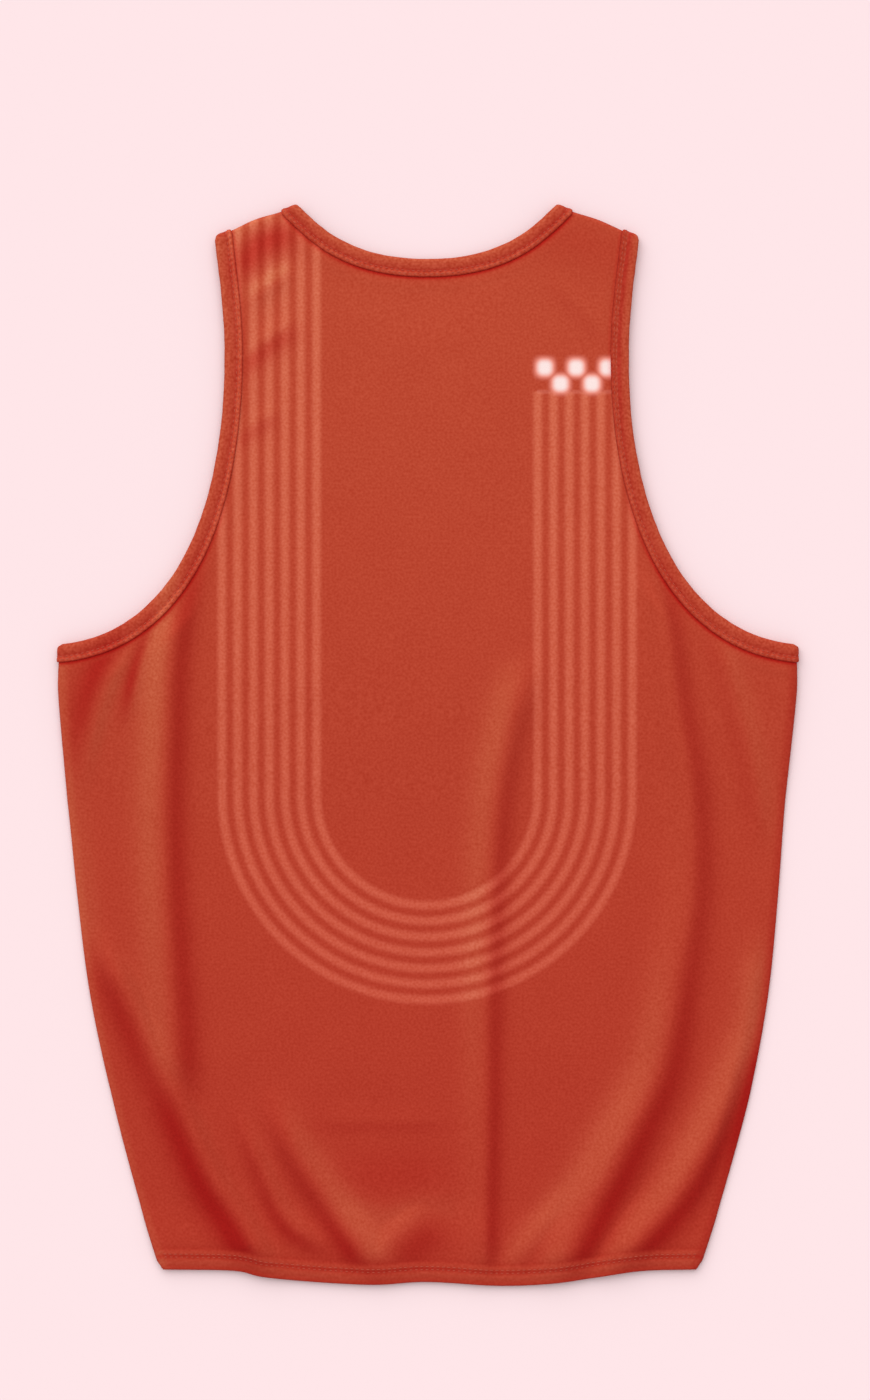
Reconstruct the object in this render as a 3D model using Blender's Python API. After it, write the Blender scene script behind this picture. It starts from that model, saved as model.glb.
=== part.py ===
"""Running singlet laid flat on a surface, back upwards, as five pieces of knitted cloth.

Metres, +Z up.  The origin is at the bottom centre of the garment and +Y points to the neck.
The front panel is the lower layer and the back panel the upper one.  Both fold round at the
shoulder and side seams, where they meet.  Each binding is a strip folded over a raw edge: it
runs along the back, turns over the fold and comes back along the front as one closed ring.
"""

import math
from collections import namedtuple

import bmesh
import bpy
import numpy as np
from mathutils import Vector
from mathutils.geometry import delaunay_2d_cdt

# Cloth
WALL = 0.001
GAP = 0.0003
STACK = WALL + GAP  # from the middle of one wall to the middle of the wall that lies on it
SEAM_GAP = 0.0007  # between the middles of two walls' ends, so that their corners keep GAP

# Finished edges
BINDING_WIDTH = 0.0115
BINDING_NOSE = 0.0005  # the middle of the wall where the strip folds over the raw edge
BINDING_SHOULDER = 0.0014  # where that fold has become flat
RAW_EDGE = 0.0022  # the panel's cut edge, in from the fold of its binding
EDGE_ROW = 0.0130  # a row of points just inside each binding
HEM_DEPTH = 0.012
HEM_ROW = 0.0125
HEM_RADIUS = STACK / 2
FRONT_HEM_SHORT = 0.003  # the front's hem stays hidden under the back's

# Heights of the middle of each layer above the surface
FRONT_FLAT = WALL / 2
FRONT_BOUND = FRONT_FLAT + STACK
BACK_FLAT = 0.0026
BACK_BOUND = FRONT_BOUND + 3 * STACK
BACK_HEM = FRONT_FLAT + 3 * STACK
YOKE_TOP = 0.052  # above this Y the back lies on the front's bindings
YOKE_FOOT = -0.070
HEM_RISE_TOP = -0.296
HEM_RISE_FOOT = -0.327
NECK_SAG = 0.0022  # the back sinks where no front lies under it
NECK_SAG_CENTRE = 0.322
NECK_SAG_REACH = (0.070, 0.075)
BOUND_RELEASE = 0.030  # how far from its edge the front has come down to the surface

# Corners where a bound edge meets a fold line, and the next point on that line.
# Right half: the left half mirrors it.
NECK_POINT = (0.0819, 0.3485)
NECK_SIDE = (0.0990, 0.3422)
TIP_SIDE = (0.1215, 0.3338)
SHOULDER_TIP = (0.1376, 0.3268)
UNDERARM = (0.2372, 0.0652)
UNDERARM_SIDE = (0.2376, 0.0540)

# Edges between those corners, as Bezier control points from corner to corner
BACK_NECK_CONTROLS = ((0.0674, 0.3338), (0.0475, 0.3155), (0.0, 0.3155))
FRONT_NECK_CONTROLS = ((0.0760, 0.3000), (0.0560, 0.2360), (0.0, 0.2360))
ARM_WAIST = (0.1312, 0.2520)  # the strap's narrowest place
ARM_UPPER_CONTROLS = ((0.1357, 0.3081), (0.1312, 0.2837))
ARM_LOWER_CONTROLS = ((0.1312, 0.1503), (0.1657, 0.0730))
FRONT_ARM_SCOOP = 0.003  # the front's armhole is cut a little deeper

Row = namedtuple("Row", "y half")  # a side fold line: half the width at height y
SIDE_ROWS = (
    Row(0.0280, 0.2369),
    Row(-0.0360, 0.2318),
    Row(-0.1000, 0.2264),
    Row(-0.1640, 0.2190),
    Row(-0.2300, 0.2057),
    Row(-0.2960, 0.1880),
    Row(-0.3402, 0.1734),
)

HemPoint = namedtuple("HemPoint", "x y")
HEM_POINTS = (
    HemPoint(-0.1734, -0.3402),
    HemPoint(-0.1270, -0.3410),
    HemPoint(-0.1090, -0.3448),
    HemPoint(-0.0760, -0.3482),
    HemPoint(-0.0360, -0.3501),
    HemPoint(-0.0020, -0.3483),
    HemPoint(0.0450, -0.3508),
    HemPoint(0.0780, -0.3494),
    HemPoint(0.1060, -0.3456),
    HemPoint(0.1360, -0.3412),
    HemPoint(0.1734, -0.3402),
)

Sway = namedtuple("Sway", "y shift")  # the garment isn't laid quite straight
SWAY_ROWS = (
    Sway(0.350, -0.0007),
    Sway(0.200, -0.0009),
    Sway(0.064, 0.0000),
    Sway(-0.036, -0.0011),
    Sway(-0.134, 0.0003),
    Sway(-0.230, 0.0018),
    Sway(-0.345, 0.0010),
)

# A crease is a ridge along its path, with a slope on one side and a lee on the other.  The lee
# lies to the left of the path's own direction (+1) or to its right (-1).  Both are wider by the
# spread at the path's end.  Its share is how high the front panel rises under it.
Crease = namedtuple("Crease", "height slope lee side spread share path")
CREASES = (
    # under the left armhole, straight down
    Crease(0.0060, 0.0120, 0.0100, 1, 1.25, 0.5, (
        (-0.149, 0.150), (-0.1615, 0.096), (-0.1675, 0.050), (-0.1690, 0.010), (-0.1705, -0.036),
        (-0.1700, -0.101), (-0.1670, -0.166), (-0.1655, -0.205), (-0.1650, -0.250))),
    # ray from the left underarm
    Crease(0.0024, 0.0080, 0.0166, -1, 0.7, 0.0, (
        (-0.176, 0.108), (-0.1944, 0.0673), (-0.2054, 0.0452), (-0.2132, 0.0257),
        (-0.2200, -0.0036), (-0.2240, -0.034))),
    # left side to hem
    Crease(0.0062, 0.0080, 0.0150, -1, 1.0, 0.5, (
        (-0.222, -0.112), (-0.2075, -0.140), (-0.1915, -0.170), (-0.1745, -0.206), (-0.156, -0.247),
        (-0.139, -0.283), (-0.122, -0.309), (-0.104, -0.340), (-0.090, -0.366))),
    # two short ones beside it at the hem
    Crease(0.0030, 0.0060, 0.0070, -1, 1.2, 0.0, (
        (-0.130, -0.228), (-0.1100, -0.2733), (-0.1000, -0.2961), (-0.0900, -0.3110),
        (-0.0754, -0.3215), (-0.052, -0.334))),
    Crease(0.0048, 0.0100, 0.0088, -1, 1.3, 0.4, (
        (-0.107, -0.218), (-0.0955, -0.250), (-0.0820, -0.2745), (-0.0668, -0.2958),
        (-0.0505, -0.3195), (-0.0315, -0.343), (-0.017, -0.363))),
    # the knob at the middle of the hem
    Crease(0.0030, 0.0090, 0.0180, -1, 1.0, 0.0, (
        (-0.0507, -0.3570), (-0.0364, -0.3353), (-0.0195, -0.3178), (-0.0052, -0.3035),
        (0.0110, -0.2930))),
    # centre, straight down
    Crease(0.0046, 0.0135, 0.0105, 1, 0.75, 0.5, (
        (0.0710, 0.066), (0.0665, 0.052), (0.0585, 0.029), (0.0495, -0.010), (0.0436, -0.050),
        (0.0396, -0.100), (0.0368, -0.165), (0.0353, -0.250), (0.0348, -0.340), (0.0348, -0.366))),
    # from the right armhole in a long bow to the hem, and the spur at its foot
    Crease(0.0060, 0.0100, 0.0090, 1, 1.8, 0.5, (
        (0.143, 0.140), (0.1518, 0.0894), (0.1599, 0.0276), (0.1690, -0.0205), (0.1713, -0.0605),
        (0.1698, -0.1004), (0.1630, -0.1401), (0.1560, -0.1797), (0.1484, -0.2116),
        (0.1320, -0.2467), (0.1100, -0.2909), (0.0937, -0.3234), (0.0783, -0.3546), (0.0695, -0.374))),
    Crease(0.0022, 0.0080, 0.0110, 1, 1.2, 0.0, (
        (0.1118, -0.2636), (0.1040, -0.2766), (0.0891, -0.2961), (0.0722, -0.3156),
        (0.0566, -0.3364), (0.0440, -0.3560))),
    # right side to hem
    Crease(0.0058, 0.0130, 0.0125, 1, 1.0, 0.4, (
        (0.2250, -0.1100), (0.2210, -0.1433), (0.2157, -0.1823), (0.2020, -0.2148),
        (0.1825, -0.2551), (0.1600, -0.2928), (0.1355, -0.3214), (0.1121, -0.3513), (0.096, -0.372))),
    # from the right underarm
    Crease(0.0016, 0.0080, 0.0080, -1, 1.2, 0.0, (
        (0.176, 0.100), (0.1935, 0.050), (0.2065, 0.0046), (0.2150, -0.0361), (0.221, -0.080))),
)
CREASE_RUN = 0.050  # over which a crease begins and ends
CREASE_RUN_SHARE = 0.35  # of a short crease
SIDE_CALM = (0.002, 0.016)  # creases start and are whole this far in from the side folds
BOUND_CALM = (0.0135, 0.027)
HEM_CALM = 0.45  # the share of a crease that is left at the hem's fold
HEM_CALM_REACH = 0.020

# Points along the curves that edges and heights are read from
CURVE_POINTS = 200
RUN_POINTS = 60
SPAN_POINTS = 6

# Spacing of the points that the cloth is built through
ARM_STATIONS = 20
BACK_NECK_STATIONS = 12
FRONT_NECK_STATIONS = 18
SHOULDER_STEPS = 3
SIDE_STATIONS = 13
HEM_STATIONS = 25
FOLD_TURNS = (30, 60)  # degrees, and then the seam
BINDING_TURNS = (30, 60, 90, 120, 150)
HEM_TURNS = (45, 90, 135, 180)
GRID_STEP = (0.026, 0.036)
CREASE_STEP = 0.030
CREASE_COLUMNS = (-1.7, -0.8, 0.0, 1.0, 2.0)  # slopes on one side of the crest, lees on the other
SEED_CLEARANCE = 0.011

KNIT_RED = (0.485, 0.059, 0.029)
BINDING_RED = (0.470, 0.054, 0.027)
KNIT_ROUGHNESS = 0.82

Station = namedtuple("Station", "edge inward")  # a point of an edge and the way into the cloth
Layer = namedtuple("Layer", "up height neck arm hem_lift turn")


def clear_scene():
    for item in list(bpy.data.objects):
        bpy.data.objects.remove(item, do_unlink=True)


def ease(low, high, value):
    """0 below low, 1 above high and a smooth rise between; low may be the larger."""
    share = np.clip((np.asarray(value, float) - low) / (high - low), 0.0, 1.0)
    return share * share * (3.0 - 2.0 * share)


def through(points, per_span):
    """A Catmull-Rom curve through points, with per_span steps from each to the next."""
    p = np.array(points, float)
    p = np.vstack((2 * p[0] - p[1], p, 2 * p[-1] - p[-2]))
    t = np.linspace(0.0, 1.0, per_span, endpoint=False)[:, None]
    runs = []
    for a, b, c, d in zip(p, p[1:], p[2:], p[3:]):
        runs.append(b + 0.5 * t * (c - a + t * (2 * a - 5 * b + 4 * c - d + t * (3 * (b - c) + d - a))))
    return np.vstack(runs + [p[-2:-1]])


def bezier(a, b, c, d, count):
    t = np.linspace(0.0, 1.0, count)[:, None]
    a, b, c, d = (np.array(v, float) for v in (a, b, c, d))
    return (1 - t) ** 3 * a + 3 * (1 - t) ** 2 * t * b + 3 * (1 - t) * t ** 2 * c + t ** 3 * d


def lengths(curve):
    """How far along the curve each of its points is."""
    return np.concatenate(([0.0], np.cumsum(np.linalg.norm(np.diff(curve, axis=0), axis=1))))


def even(curve, count):
    """The same curve with count points at equal distances."""
    along = lengths(curve)
    marks = np.linspace(0.0, along[-1], count)
    return np.column_stack([np.interp(marks, along, curve[:, k]) for k in (0, 1)])


def unit(vector):
    return np.array(vector, float) / np.linalg.norm(vector)


def across(curve):
    """The direction to the left of a curve at each of its points."""
    tangent = np.gradient(curve, axis=0)
    left = np.column_stack((-tangent[:, 1], tangent[:, 0]))
    return left / np.linalg.norm(left, axis=1)[:, None]


def mirrored(points):
    return np.array(points, float) * (-1.0, 1.0)


def near(path, points):
    """Each point's distance from a path, its side of it (+1 left) and how far along it is."""
    start, step = path[:-1], np.diff(path, axis=0)
    length = np.linalg.norm(step, axis=1)
    offset = points[:, None] - start
    share = np.clip((offset * step).sum(2) / length ** 2, 0.0, 1.0)
    gap = offset - share[..., None] * step
    distance = np.linalg.norm(gap, axis=2)
    best = distance.argmin(1)
    rows = np.arange(len(points))
    gap = gap[rows, best]
    side = np.sign(step[best, 0] * gap[:, 1] - step[best, 1] * gap[:, 0])
    along = np.cumsum(length)[best] - length[best] * (1.0 - share[rows, best])
    return distance[rows, best], side, along


# ---- edges in plan ----------------------------------------------------------------------

def neck_curve(controls, count):
    """A neck edge from the left shoulder to the right one."""
    right = bezier(NECK_POINT, *controls, CURVE_POINTS)
    whole = np.vstack((mirrored(right), right[::-1][1:]))
    return even(whole, count)


def arm_curve(scoop, count):
    """The right armhole from the shoulder tip to the underarm."""
    waist, above, below = (
        np.array(point) - (scoop, 0.0)
        for point in (ARM_WAIST, ARM_UPPER_CONTROLS[1], ARM_LOWER_CONTROLS[0])
    )
    upper = bezier(SHOULDER_TIP, ARM_UPPER_CONTROLS[0], above, waist, CURVE_POINTS)
    lower = bezier(waist, below, ARM_LOWER_CONTROLS[1], UNDERARM, CURVE_POINTS)
    return even(np.vstack((upper, lower[1:])), count)


def stations(curve, first_beside, last_beside, inner_point):
    """A station at each point.  At both ends the way in follows the fold line that crosses there."""
    inward = across(curve)
    middle = len(curve) // 2
    if np.dot(inward[middle], np.array(inner_point) - curve[middle]) < 0:
        inward = -inward
    for end, beside in ((0, first_beside), (-1, last_beside)):
        line = unit(np.array(beside) - curve[end])
        inward[end] = line / np.dot(line, inward[end])
    return [Station(*pair) for pair in zip(curve, inward)]


def neck_stations(layer):
    curve = neck_curve(layer.neck, BACK_NECK_STATIONS if layer.up else FRONT_NECK_STATIONS)
    return stations(curve, mirrored(NECK_SIDE), NECK_SIDE, (0.0, 0.0))


def arm_stations(layer, mirror):
    curve = arm_curve(layer.arm, ARM_STATIONS)
    run = stations(curve, TIP_SIDE, UNDERARM_SIDE, (0.0, 0.2))
    if mirror:
        return [Station(mirrored(s.edge), mirrored(s.inward)) for s in run]
    return run


def hem_stations(layer):
    curve = even(through(HEM_POINTS, SPAN_POINTS), HEM_STATIONS) + (0.0, layer.hem_lift)
    right = np.array(SIDE_ROWS[-2][::-1])
    return stations(curve, mirrored(right), right, (0.0, 0.0))


def inside(run, distance):
    return np.array([s.edge + s.inward * distance for s in run])


def side_fold(layer, mirror):
    """The right side's fold line, from just under the binding to just above the hem's fold."""
    top = inside(arm_stations(layer, False)[-1:], EDGE_ROW)[0]
    foot = inside(hem_stations(layer)[-1:], HEM_ROW)[0]
    rows = [(row.half, row.y) for row in SIDE_ROWS[:-1]]
    line = even(through([top] + rows + [foot], SPAN_POINTS), SIDE_STATIONS)
    return mirrored(line) if mirror else line


def shoulder_fold(layer):
    """The right shoulder's fold line between its two bindings, from neck to tip."""
    a = inside(neck_stations(layer)[-1:], EDGE_ROW)[0]
    b = inside(arm_stations(layer, False)[:1], EDGE_ROW)[0]
    return a + np.linspace(0.0, 1.0, SHOULDER_STEPS + 1)[:, None] * (b - a)


# ---- heights ----------------------------------------------------------------------------

def from_runs(points, runs):
    """Distance of each point from the nearest of some runs."""
    return np.min([near(run, points)[0] for run in runs], axis=0)


def from_bound_edges(points, neck, scoop):
    arm = arm_curve(scoop, RUN_POINTS)
    return from_runs(points, (neck_curve(neck, RUN_POINTS), arm, mirrored(arm)))


def from_back_bindings(points):
    return from_bound_edges(points, BACK_NECK_CONTROLS, 0.0)


def from_front_bindings(points):
    return from_bound_edges(points, FRONT_NECK_CONTROLS, FRONT_ARM_SCOOP)


def from_sides(points):
    rows = [(row.half, row.y) for row in SIDE_ROWS]
    side = through([UNDERARM, UNDERARM_SIDE] + rows, SPAN_POINTS)
    return from_runs(points, (side, mirrored(side)))


def from_hem(points):
    return from_runs(points, (through(HEM_POINTS, SPAN_POINTS),))


def creases(points, shared):
    """How high the creases lift the cloth: in full on the back, by their share on the front."""
    lift = np.zeros(len(points))
    for crease in CREASES:
        path = through(crease.path, SPAN_POINTS)
        distance, side, along = near(path, points)
        whole = lengths(path)[-1]
        width = np.where(side * crease.side > 0, crease.lee, crease.slope)
        z = distance / width / (1.0 + (crease.spread - 1.0) * along / whole)
        run = min(CREASE_RUN, CREASE_RUN_SHARE * whole)
        ends = ease(0.0, run, along) * ease(whole, whole - run, along)
        height = crease.height * (crease.share if shared else 1.0)
        lift = np.maximum(lift, height * np.exp(-z * z) * ends)
    calm = ease(*SIDE_CALM, from_sides(points)) * ease(*BOUND_CALM, from_back_bindings(points))
    hem = HEM_CALM + (1.0 - HEM_CALM) * ease(0.0, HEM_CALM_REACH, from_hem(points))
    return lift * calm * hem


def back_height(points):
    x, y = points[:, 0], points[:, 1]
    base = BACK_FLAT + (BACK_BOUND - BACK_FLAT) * ease(YOKE_FOOT, YOKE_TOP, y)
    base += (BACK_HEM - BACK_FLAT) * ease(HEM_RISE_TOP, HEM_RISE_FOOT, y)
    reach = np.hypot(x / NECK_SAG_REACH[0], (y - NECK_SAG_CENTRE) / NECK_SAG_REACH[1])
    return base - NECK_SAG * ease(1.0, 0.2, reach) + creases(points, False)


def front_height(points):
    bound = from_front_bindings(points)
    raised = STACK * ease(BOUND_RELEASE, EDGE_ROW, bound)
    calm = ease(BOUND_RELEASE, 2 * BOUND_RELEASE, bound)
    return FRONT_FLAT + raised + creases(points, True) * calm


BACK = Layer(True, back_height, BACK_NECK_CONTROLS, 0.0, 0.0, -1)
FRONT = Layer(False, front_height, FRONT_NECK_CONTROLS, FRONT_ARM_SCOOP, FRONT_HEM_SHORT, 1)


def fold_middle(points):
    """Where the two layers' fold has its centre, and its radius, at points on a fold line."""
    top, low = back_height(points), front_height(points)
    return (top + low) / 2, (top - low) / 2


# ---- cloth ------------------------------------------------------------------------------

def sway(y):
    rows = np.array(SWAY_ROWS)[::-1]
    return np.interp(y, rows[:, 0], rows[:, 1])


def cloth_object(name, points, faces, colour):
    """A wall of cloth with points and faces as its middle."""
    mesh = bpy.data.meshes.new(name)
    placed = [(x + sway(y), y, z) for x, y, z in points]
    mesh.from_pydata(placed, [], faces)
    shape = bmesh.new()
    shape.from_mesh(mesh)
    bmesh.ops.recalc_face_normals(shape, faces=shape.faces)
    shape.to_mesh(mesh)
    shape.free()
    mesh.shade_smooth()
    mesh.materials.append(knit(name + "_knit", colour))
    item = bpy.data.objects.new(name, mesh)
    bpy.context.scene.collection.objects.link(item)
    wall = item.modifiers.new("wall", "SOLIDIFY")
    wall.thickness = WALL
    wall.offset = 0.0
    wall.use_even_offset = True
    wall.use_quality_normals = True
    return item


def knit(name, colour):
    material = bpy.data.materials.new(name)
    material.use_nodes = True
    shader = material.node_tree.nodes["Principled BSDF"]
    shader.inputs["Base Color"].default_value = (*colour, 1.0)
    shader.inputs["Roughness"].default_value = KNIT_ROUGHNESS
    shader.inputs["Metallic"].default_value = 0.0
    return material


def outward_of(line):
    """The plan direction away from the middle of the garment at each point of a fold line."""
    out = across(line)
    middle = len(line) // 2
    return out if np.dot(out[middle], line[middle]) > 0 else -out


def inner_seeds(outline, rows):
    """Points inside an outline: along every crease and, away from them, on an even grid."""
    low, high = outline.min(0), outline.max(0)
    seeds = []
    for crease in CREASES:
        path = through(crease.path, SPAN_POINTS)
        crest = even(path, max(3, round(lengths(path)[-1] / CREASE_STEP) + 1))
        left = across(crest) * np.linspace(1.0, crease.spread, len(crest))[:, None]
        for column in CREASE_COLUMNS:
            width = crease.lee if column > 0 else crease.slope
            seeds.extend(crest + left * (column * width * crease.side))
    for y in np.arange(low[1], high[1], GRID_STEP[1]):
        seeds.extend((x, y) for x in np.arange(low[0], high[0], GRID_STEP[0]))
    border = np.vstack((outline, outline[:1]))
    kept = []
    fixed = np.vstack([outline] + rows)
    for seed in np.array(seeds):
        taken = np.vstack([fixed] + [kept]) if kept else fixed
        if np.hypot(*(taken - seed).T).min() < SEED_CLEARANCE:
            continue
        if winding(border, seed) and near(border, seed[None])[0][0] > SEED_CLEARANCE:
            kept.append(seed)
    return np.array(kept)


def winding(border, point):
    """Whether a closed border goes round a point."""
    a, b = border[:-1], border[1:]
    crosses = (a[:, 1] > point[1]) != (b[:, 1] > point[1])
    share = (point[1] - a[:, 1]) / np.where(crosses, b[:, 1] - a[:, 1], 1.0)
    return np.count_nonzero(crosses & (point[0] < a[:, 0] + share * (b[:, 0] - a[:, 0]))) % 2 == 1


def triangles(outline, rows):
    """Triangles over an outline in plan, through rows of points and the inner seeds."""
    seeds = inner_seeds(outline, rows)
    points = np.vstack([outline] + rows + [seeds])
    chains = []
    start = len(outline)
    for row in rows:
        chains.extend((start + k, start + k + 1) for k in range(len(row) - 1))
        start += len(row)
    loop = list(range(len(outline)))
    found = delaunay_2d_cdt([Vector(p) for p in points], chains, [loop], 1, 1e-6)
    return np.array([tuple(p) for p in found[0]]), [list(face) for face in found[2]]


def strip(first, second):
    """Quads between two rows of point numbers."""
    return [(a, b, d, c) for a, b, c, d in zip(first, first[1:], second, second[1:])]


def turned_edge(points, faces, ids, layer):
    """The panel's edge rolls round its fold line and ends at the seam."""
    line = points[ids][:, :2]
    out = outward_of(line)
    middle, radius = fold_middle(line)
    upright = 1.0 if layer.up else -1.0
    last = ids
    for turn in FOLD_TURNS + (None,):
        if turn is None:
            rise = np.full(len(line), SEAM_GAP / 2)
            reach = np.sqrt(radius ** 2 - rise ** 2)
        else:
            rise = radius * math.cos(math.radians(turn))
            reach = radius * math.sin(math.radians(turn))
        row = np.column_stack((line + out * reach[:, None], middle + upright * rise))
        ids_here = list(range(len(points), len(points) + len(row)))
        points = np.vstack((points, row))
        faces.extend(strip(last, ids_here))
        last = ids_here
    return points


def turned_hem(points, faces, ids, layer, run):
    """The hem's edge folds under (back) or over (front) and lies along the panel's inside."""
    edge = points[ids]
    inward = np.array([s.inward for s in run])
    last = ids
    rows = []
    for turn in HEM_TURNS:
        out = HEM_RADIUS * math.sin(math.radians(turn))
        drop = HEM_RADIUS * (1.0 - math.cos(math.radians(turn)))
        rows.append(np.column_stack((edge[:, :2] - inward * out, edge[:, 2] + layer.turn * drop)))
    share = HEM_DEPTH / HEM_ROW
    above = edge[:, 2] + (layer.height(inside(run, HEM_ROW)) - edge[:, 2]) * share
    rows.append(np.column_stack((inside(run, HEM_DEPTH), above + layer.turn * STACK)))
    for row in rows:
        ids_here = list(range(len(points), len(points) + len(row)))
        points = np.vstack((points, row))
        faces.extend(strip(last, ids_here))
        last = ids_here
    return points


def panel(name, layer):
    """A whole panel: its face, the edges that turn to the seams, and its hem."""
    neck = neck_stations(layer)
    right, left = arm_stations(layer, False), arm_stations(layer, True)
    hem = hem_stations(layer)[::-1]
    shoulder = shoulder_fold(layer)
    runs = (
        inside(neck, RAW_EDGE), shoulder, inside(right, RAW_EDGE), side_fold(layer, False),
        inside(hem, 0.0), side_fold(layer, True)[::-1], inside(left, RAW_EDGE)[::-1],
        mirrored(shoulder)[::-1],
    )
    ends = np.cumsum([len(run) for run in runs])
    ids = [list(range(end - len(run), end)) for end, run in zip(ends, runs)]
    rows = [inside(run, EDGE_ROW)[1:-1] for run in (neck, right, left)]
    rows.append(inside(hem, HEM_ROW)[1:-1])
    plan, faces = triangles(np.vstack(runs), rows)
    points = np.column_stack((plan, layer.height(plan)))
    folds = (
        ids[0][-1:] + ids[1] + ids[2][:1],
        ids[2][-1:] + ids[3] + ids[4][:1],
        ids[4][-1:] + ids[5] + ids[6][:1],
        ids[6][-1:] + ids[7] + ids[0][:1],
    )
    for fold in folds:
        points = turned_edge(points, faces, fold, layer)
    points = turned_hem(points, faces, ids[4], layer, hem)
    return cloth_object(name, points, faces, KNIT_RED)


BINDING_SECTION = (  # how far in from the fold, and how far out from the middle of the layer
    (BINDING_WIDTH, STACK),
    (BINDING_SHOULDER, STACK),
    (BINDING_NOSE, 0.0),
    (BINDING_SHOULDER, -STACK),
    (BINDING_WIDTH, -STACK),
)


def flat_section(station, layer):
    """The binding's section where it lies along a panel's edge."""
    plan = np.array([station.edge + station.inward * depth for depth, _ in BINDING_SECTION])
    side = 1.0 if layer.up else -1.0
    lift = np.array([side * out for _, out in BINDING_SECTION])
    return np.column_stack((plan, layer.height(plan) + lift))


def fold_sections(upper, lower):
    """The binding's sections from the back to the front, over the fold that both stations share."""
    line = unit(upper.inward)
    out = np.array((-line[1], line[0]))
    if np.dot(out, upper.edge) < 0:
        out = -out
    for turn in BINDING_TURNS:
        share = turn / 180.0
        way = upper.inward * (1.0 - share) + lower.inward * share
        plan = np.array([upper.edge + way * depth for depth, _ in BINDING_SECTION])
        middle, radius = fold_middle(plan)
        reach = radius + np.array([depth for _, depth in BINDING_SECTION])
        angle = math.radians(turn)
        plan = plan + out * (reach * math.sin(angle))[:, None]
        yield np.column_stack((plan, middle + reach * math.cos(angle)))


def binding(name, upper, lower):
    """One closed ring: along the back, over a fold, along the front, over the other fold."""
    sections = [flat_section(s, BACK) for s in upper]
    sections.extend(fold_sections(upper[-1], lower[-1]))
    sections.extend(flat_section(s, FRONT) for s in reversed(lower))
    sections.extend(list(fold_sections(upper[0], lower[0]))[::-1])
    wide = len(BINDING_SECTION)
    faces = []
    for k in range(len(sections)):
        here, there = k * wide, (k + 1) % len(sections) * wide
        faces.extend(strip(range(here, here + wide), range(there, there + wide)))
    return cloth_object(name, np.vstack(sections), faces, BINDING_RED)


def main():
    clear_scene()
    panel("front_panel", FRONT)
    panel("back_panel", BACK)
    binding("neck_binding", neck_stations(BACK), neck_stations(FRONT))
    for name, mirror in (("armhole_binding_right", False), ("armhole_binding_left", True)):
        binding(name, arm_stations(BACK, mirror), arm_stations(FRONT, mirror))


main()
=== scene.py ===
"""Looks of the running singlet: thin knitted cloth, stitching, print and light.

Metres, +Z up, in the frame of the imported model.  The garment lies on its front with the back
upwards.  Panels are dense sheets over the same outline and heights as the model's walls, and
each binding is one closed ring folded over both raw edges.
"""

import math
from collections import namedtuple

import bmesh
import bpy
import numpy as np
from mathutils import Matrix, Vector, noise
from mathutils.geometry import delaunay_2d_cdt
from mathutils.kdtree import KDTree


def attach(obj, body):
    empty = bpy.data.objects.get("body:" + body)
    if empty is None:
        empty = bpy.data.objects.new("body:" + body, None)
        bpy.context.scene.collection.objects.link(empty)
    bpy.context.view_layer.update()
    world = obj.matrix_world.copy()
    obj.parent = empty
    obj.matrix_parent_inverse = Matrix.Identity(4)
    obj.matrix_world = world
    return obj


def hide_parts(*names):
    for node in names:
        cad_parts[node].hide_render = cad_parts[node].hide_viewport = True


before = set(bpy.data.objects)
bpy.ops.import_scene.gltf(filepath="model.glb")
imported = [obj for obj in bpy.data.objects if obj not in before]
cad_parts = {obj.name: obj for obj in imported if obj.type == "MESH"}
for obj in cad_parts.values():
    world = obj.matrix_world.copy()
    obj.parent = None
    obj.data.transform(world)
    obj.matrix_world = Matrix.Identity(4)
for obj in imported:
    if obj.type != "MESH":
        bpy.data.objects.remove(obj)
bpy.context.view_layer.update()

# ---- cloth sizes, as in the model
WALL = 0.001
GAP = 0.0003
STACK = WALL + GAP  # from the middle of one wall to the middle of the wall that lies on it
SHELL = 0.0006  # the knit itself is thinner than the model's wall
SEAM_GAP = 0.0008

RAW_EDGE = 0.0022  # the panel's cut edge, in from the fold of its binding
EDGE_ROW = 0.013
HEM_DEPTH = 0.012
HEM_RADIUS = STACK / 2
FRONT_HEM_SHORT = 0.003

FRONT_FLAT = WALL / 2
FRONT_BOUND = FRONT_FLAT + STACK
BACK_FLAT = 0.0026
BACK_BOUND = FRONT_BOUND + 3 * STACK
BACK_HEM = FRONT_FLAT + 3 * STACK
YOKE_TOP = 0.052
YOKE_FOOT = -0.07
HEM_RISE_TOP = -0.296
HEM_RISE_FOOT = -0.327
NECK_SAG = 0.0022
NECK_SAG_CENTRE = 0.322
NECK_SAG_REACH = (0.07, 0.075)
NECK_SAG_EDGE = (1.0, 0.2)  # shares of that reach
BOUND_RELEASE = 0.03

# ---- outline: right half, mirrored for the left
NECK_POINT = (0.0819, 0.3485)
NECK_SIDE = (0.099, 0.3422)
TIP_SIDE = (0.1215, 0.3338)
SHOULDER_TIP = (0.1376, 0.3268)
UNDERARM = (0.2372, 0.0652)
UNDERARM_SIDE = (0.2376, 0.054)
BACK_NECK_CONTROLS = ((0.0674, 0.3338), (0.0475, 0.3155), (0.0, 0.3155))
FRONT_NECK_CONTROLS = ((0.076, 0.3), (0.056, 0.236), (0.0, 0.236))
ARM_WAIST = (0.1312, 0.252)
ARM_UPPER_CONTROLS = ((0.1357, 0.3081), (0.1312, 0.2837))
ARM_LOWER_CONTROLS = ((0.1312, 0.1503), (0.1657, 0.073))
FRONT_ARM_SCOOP = 0.003

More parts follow.
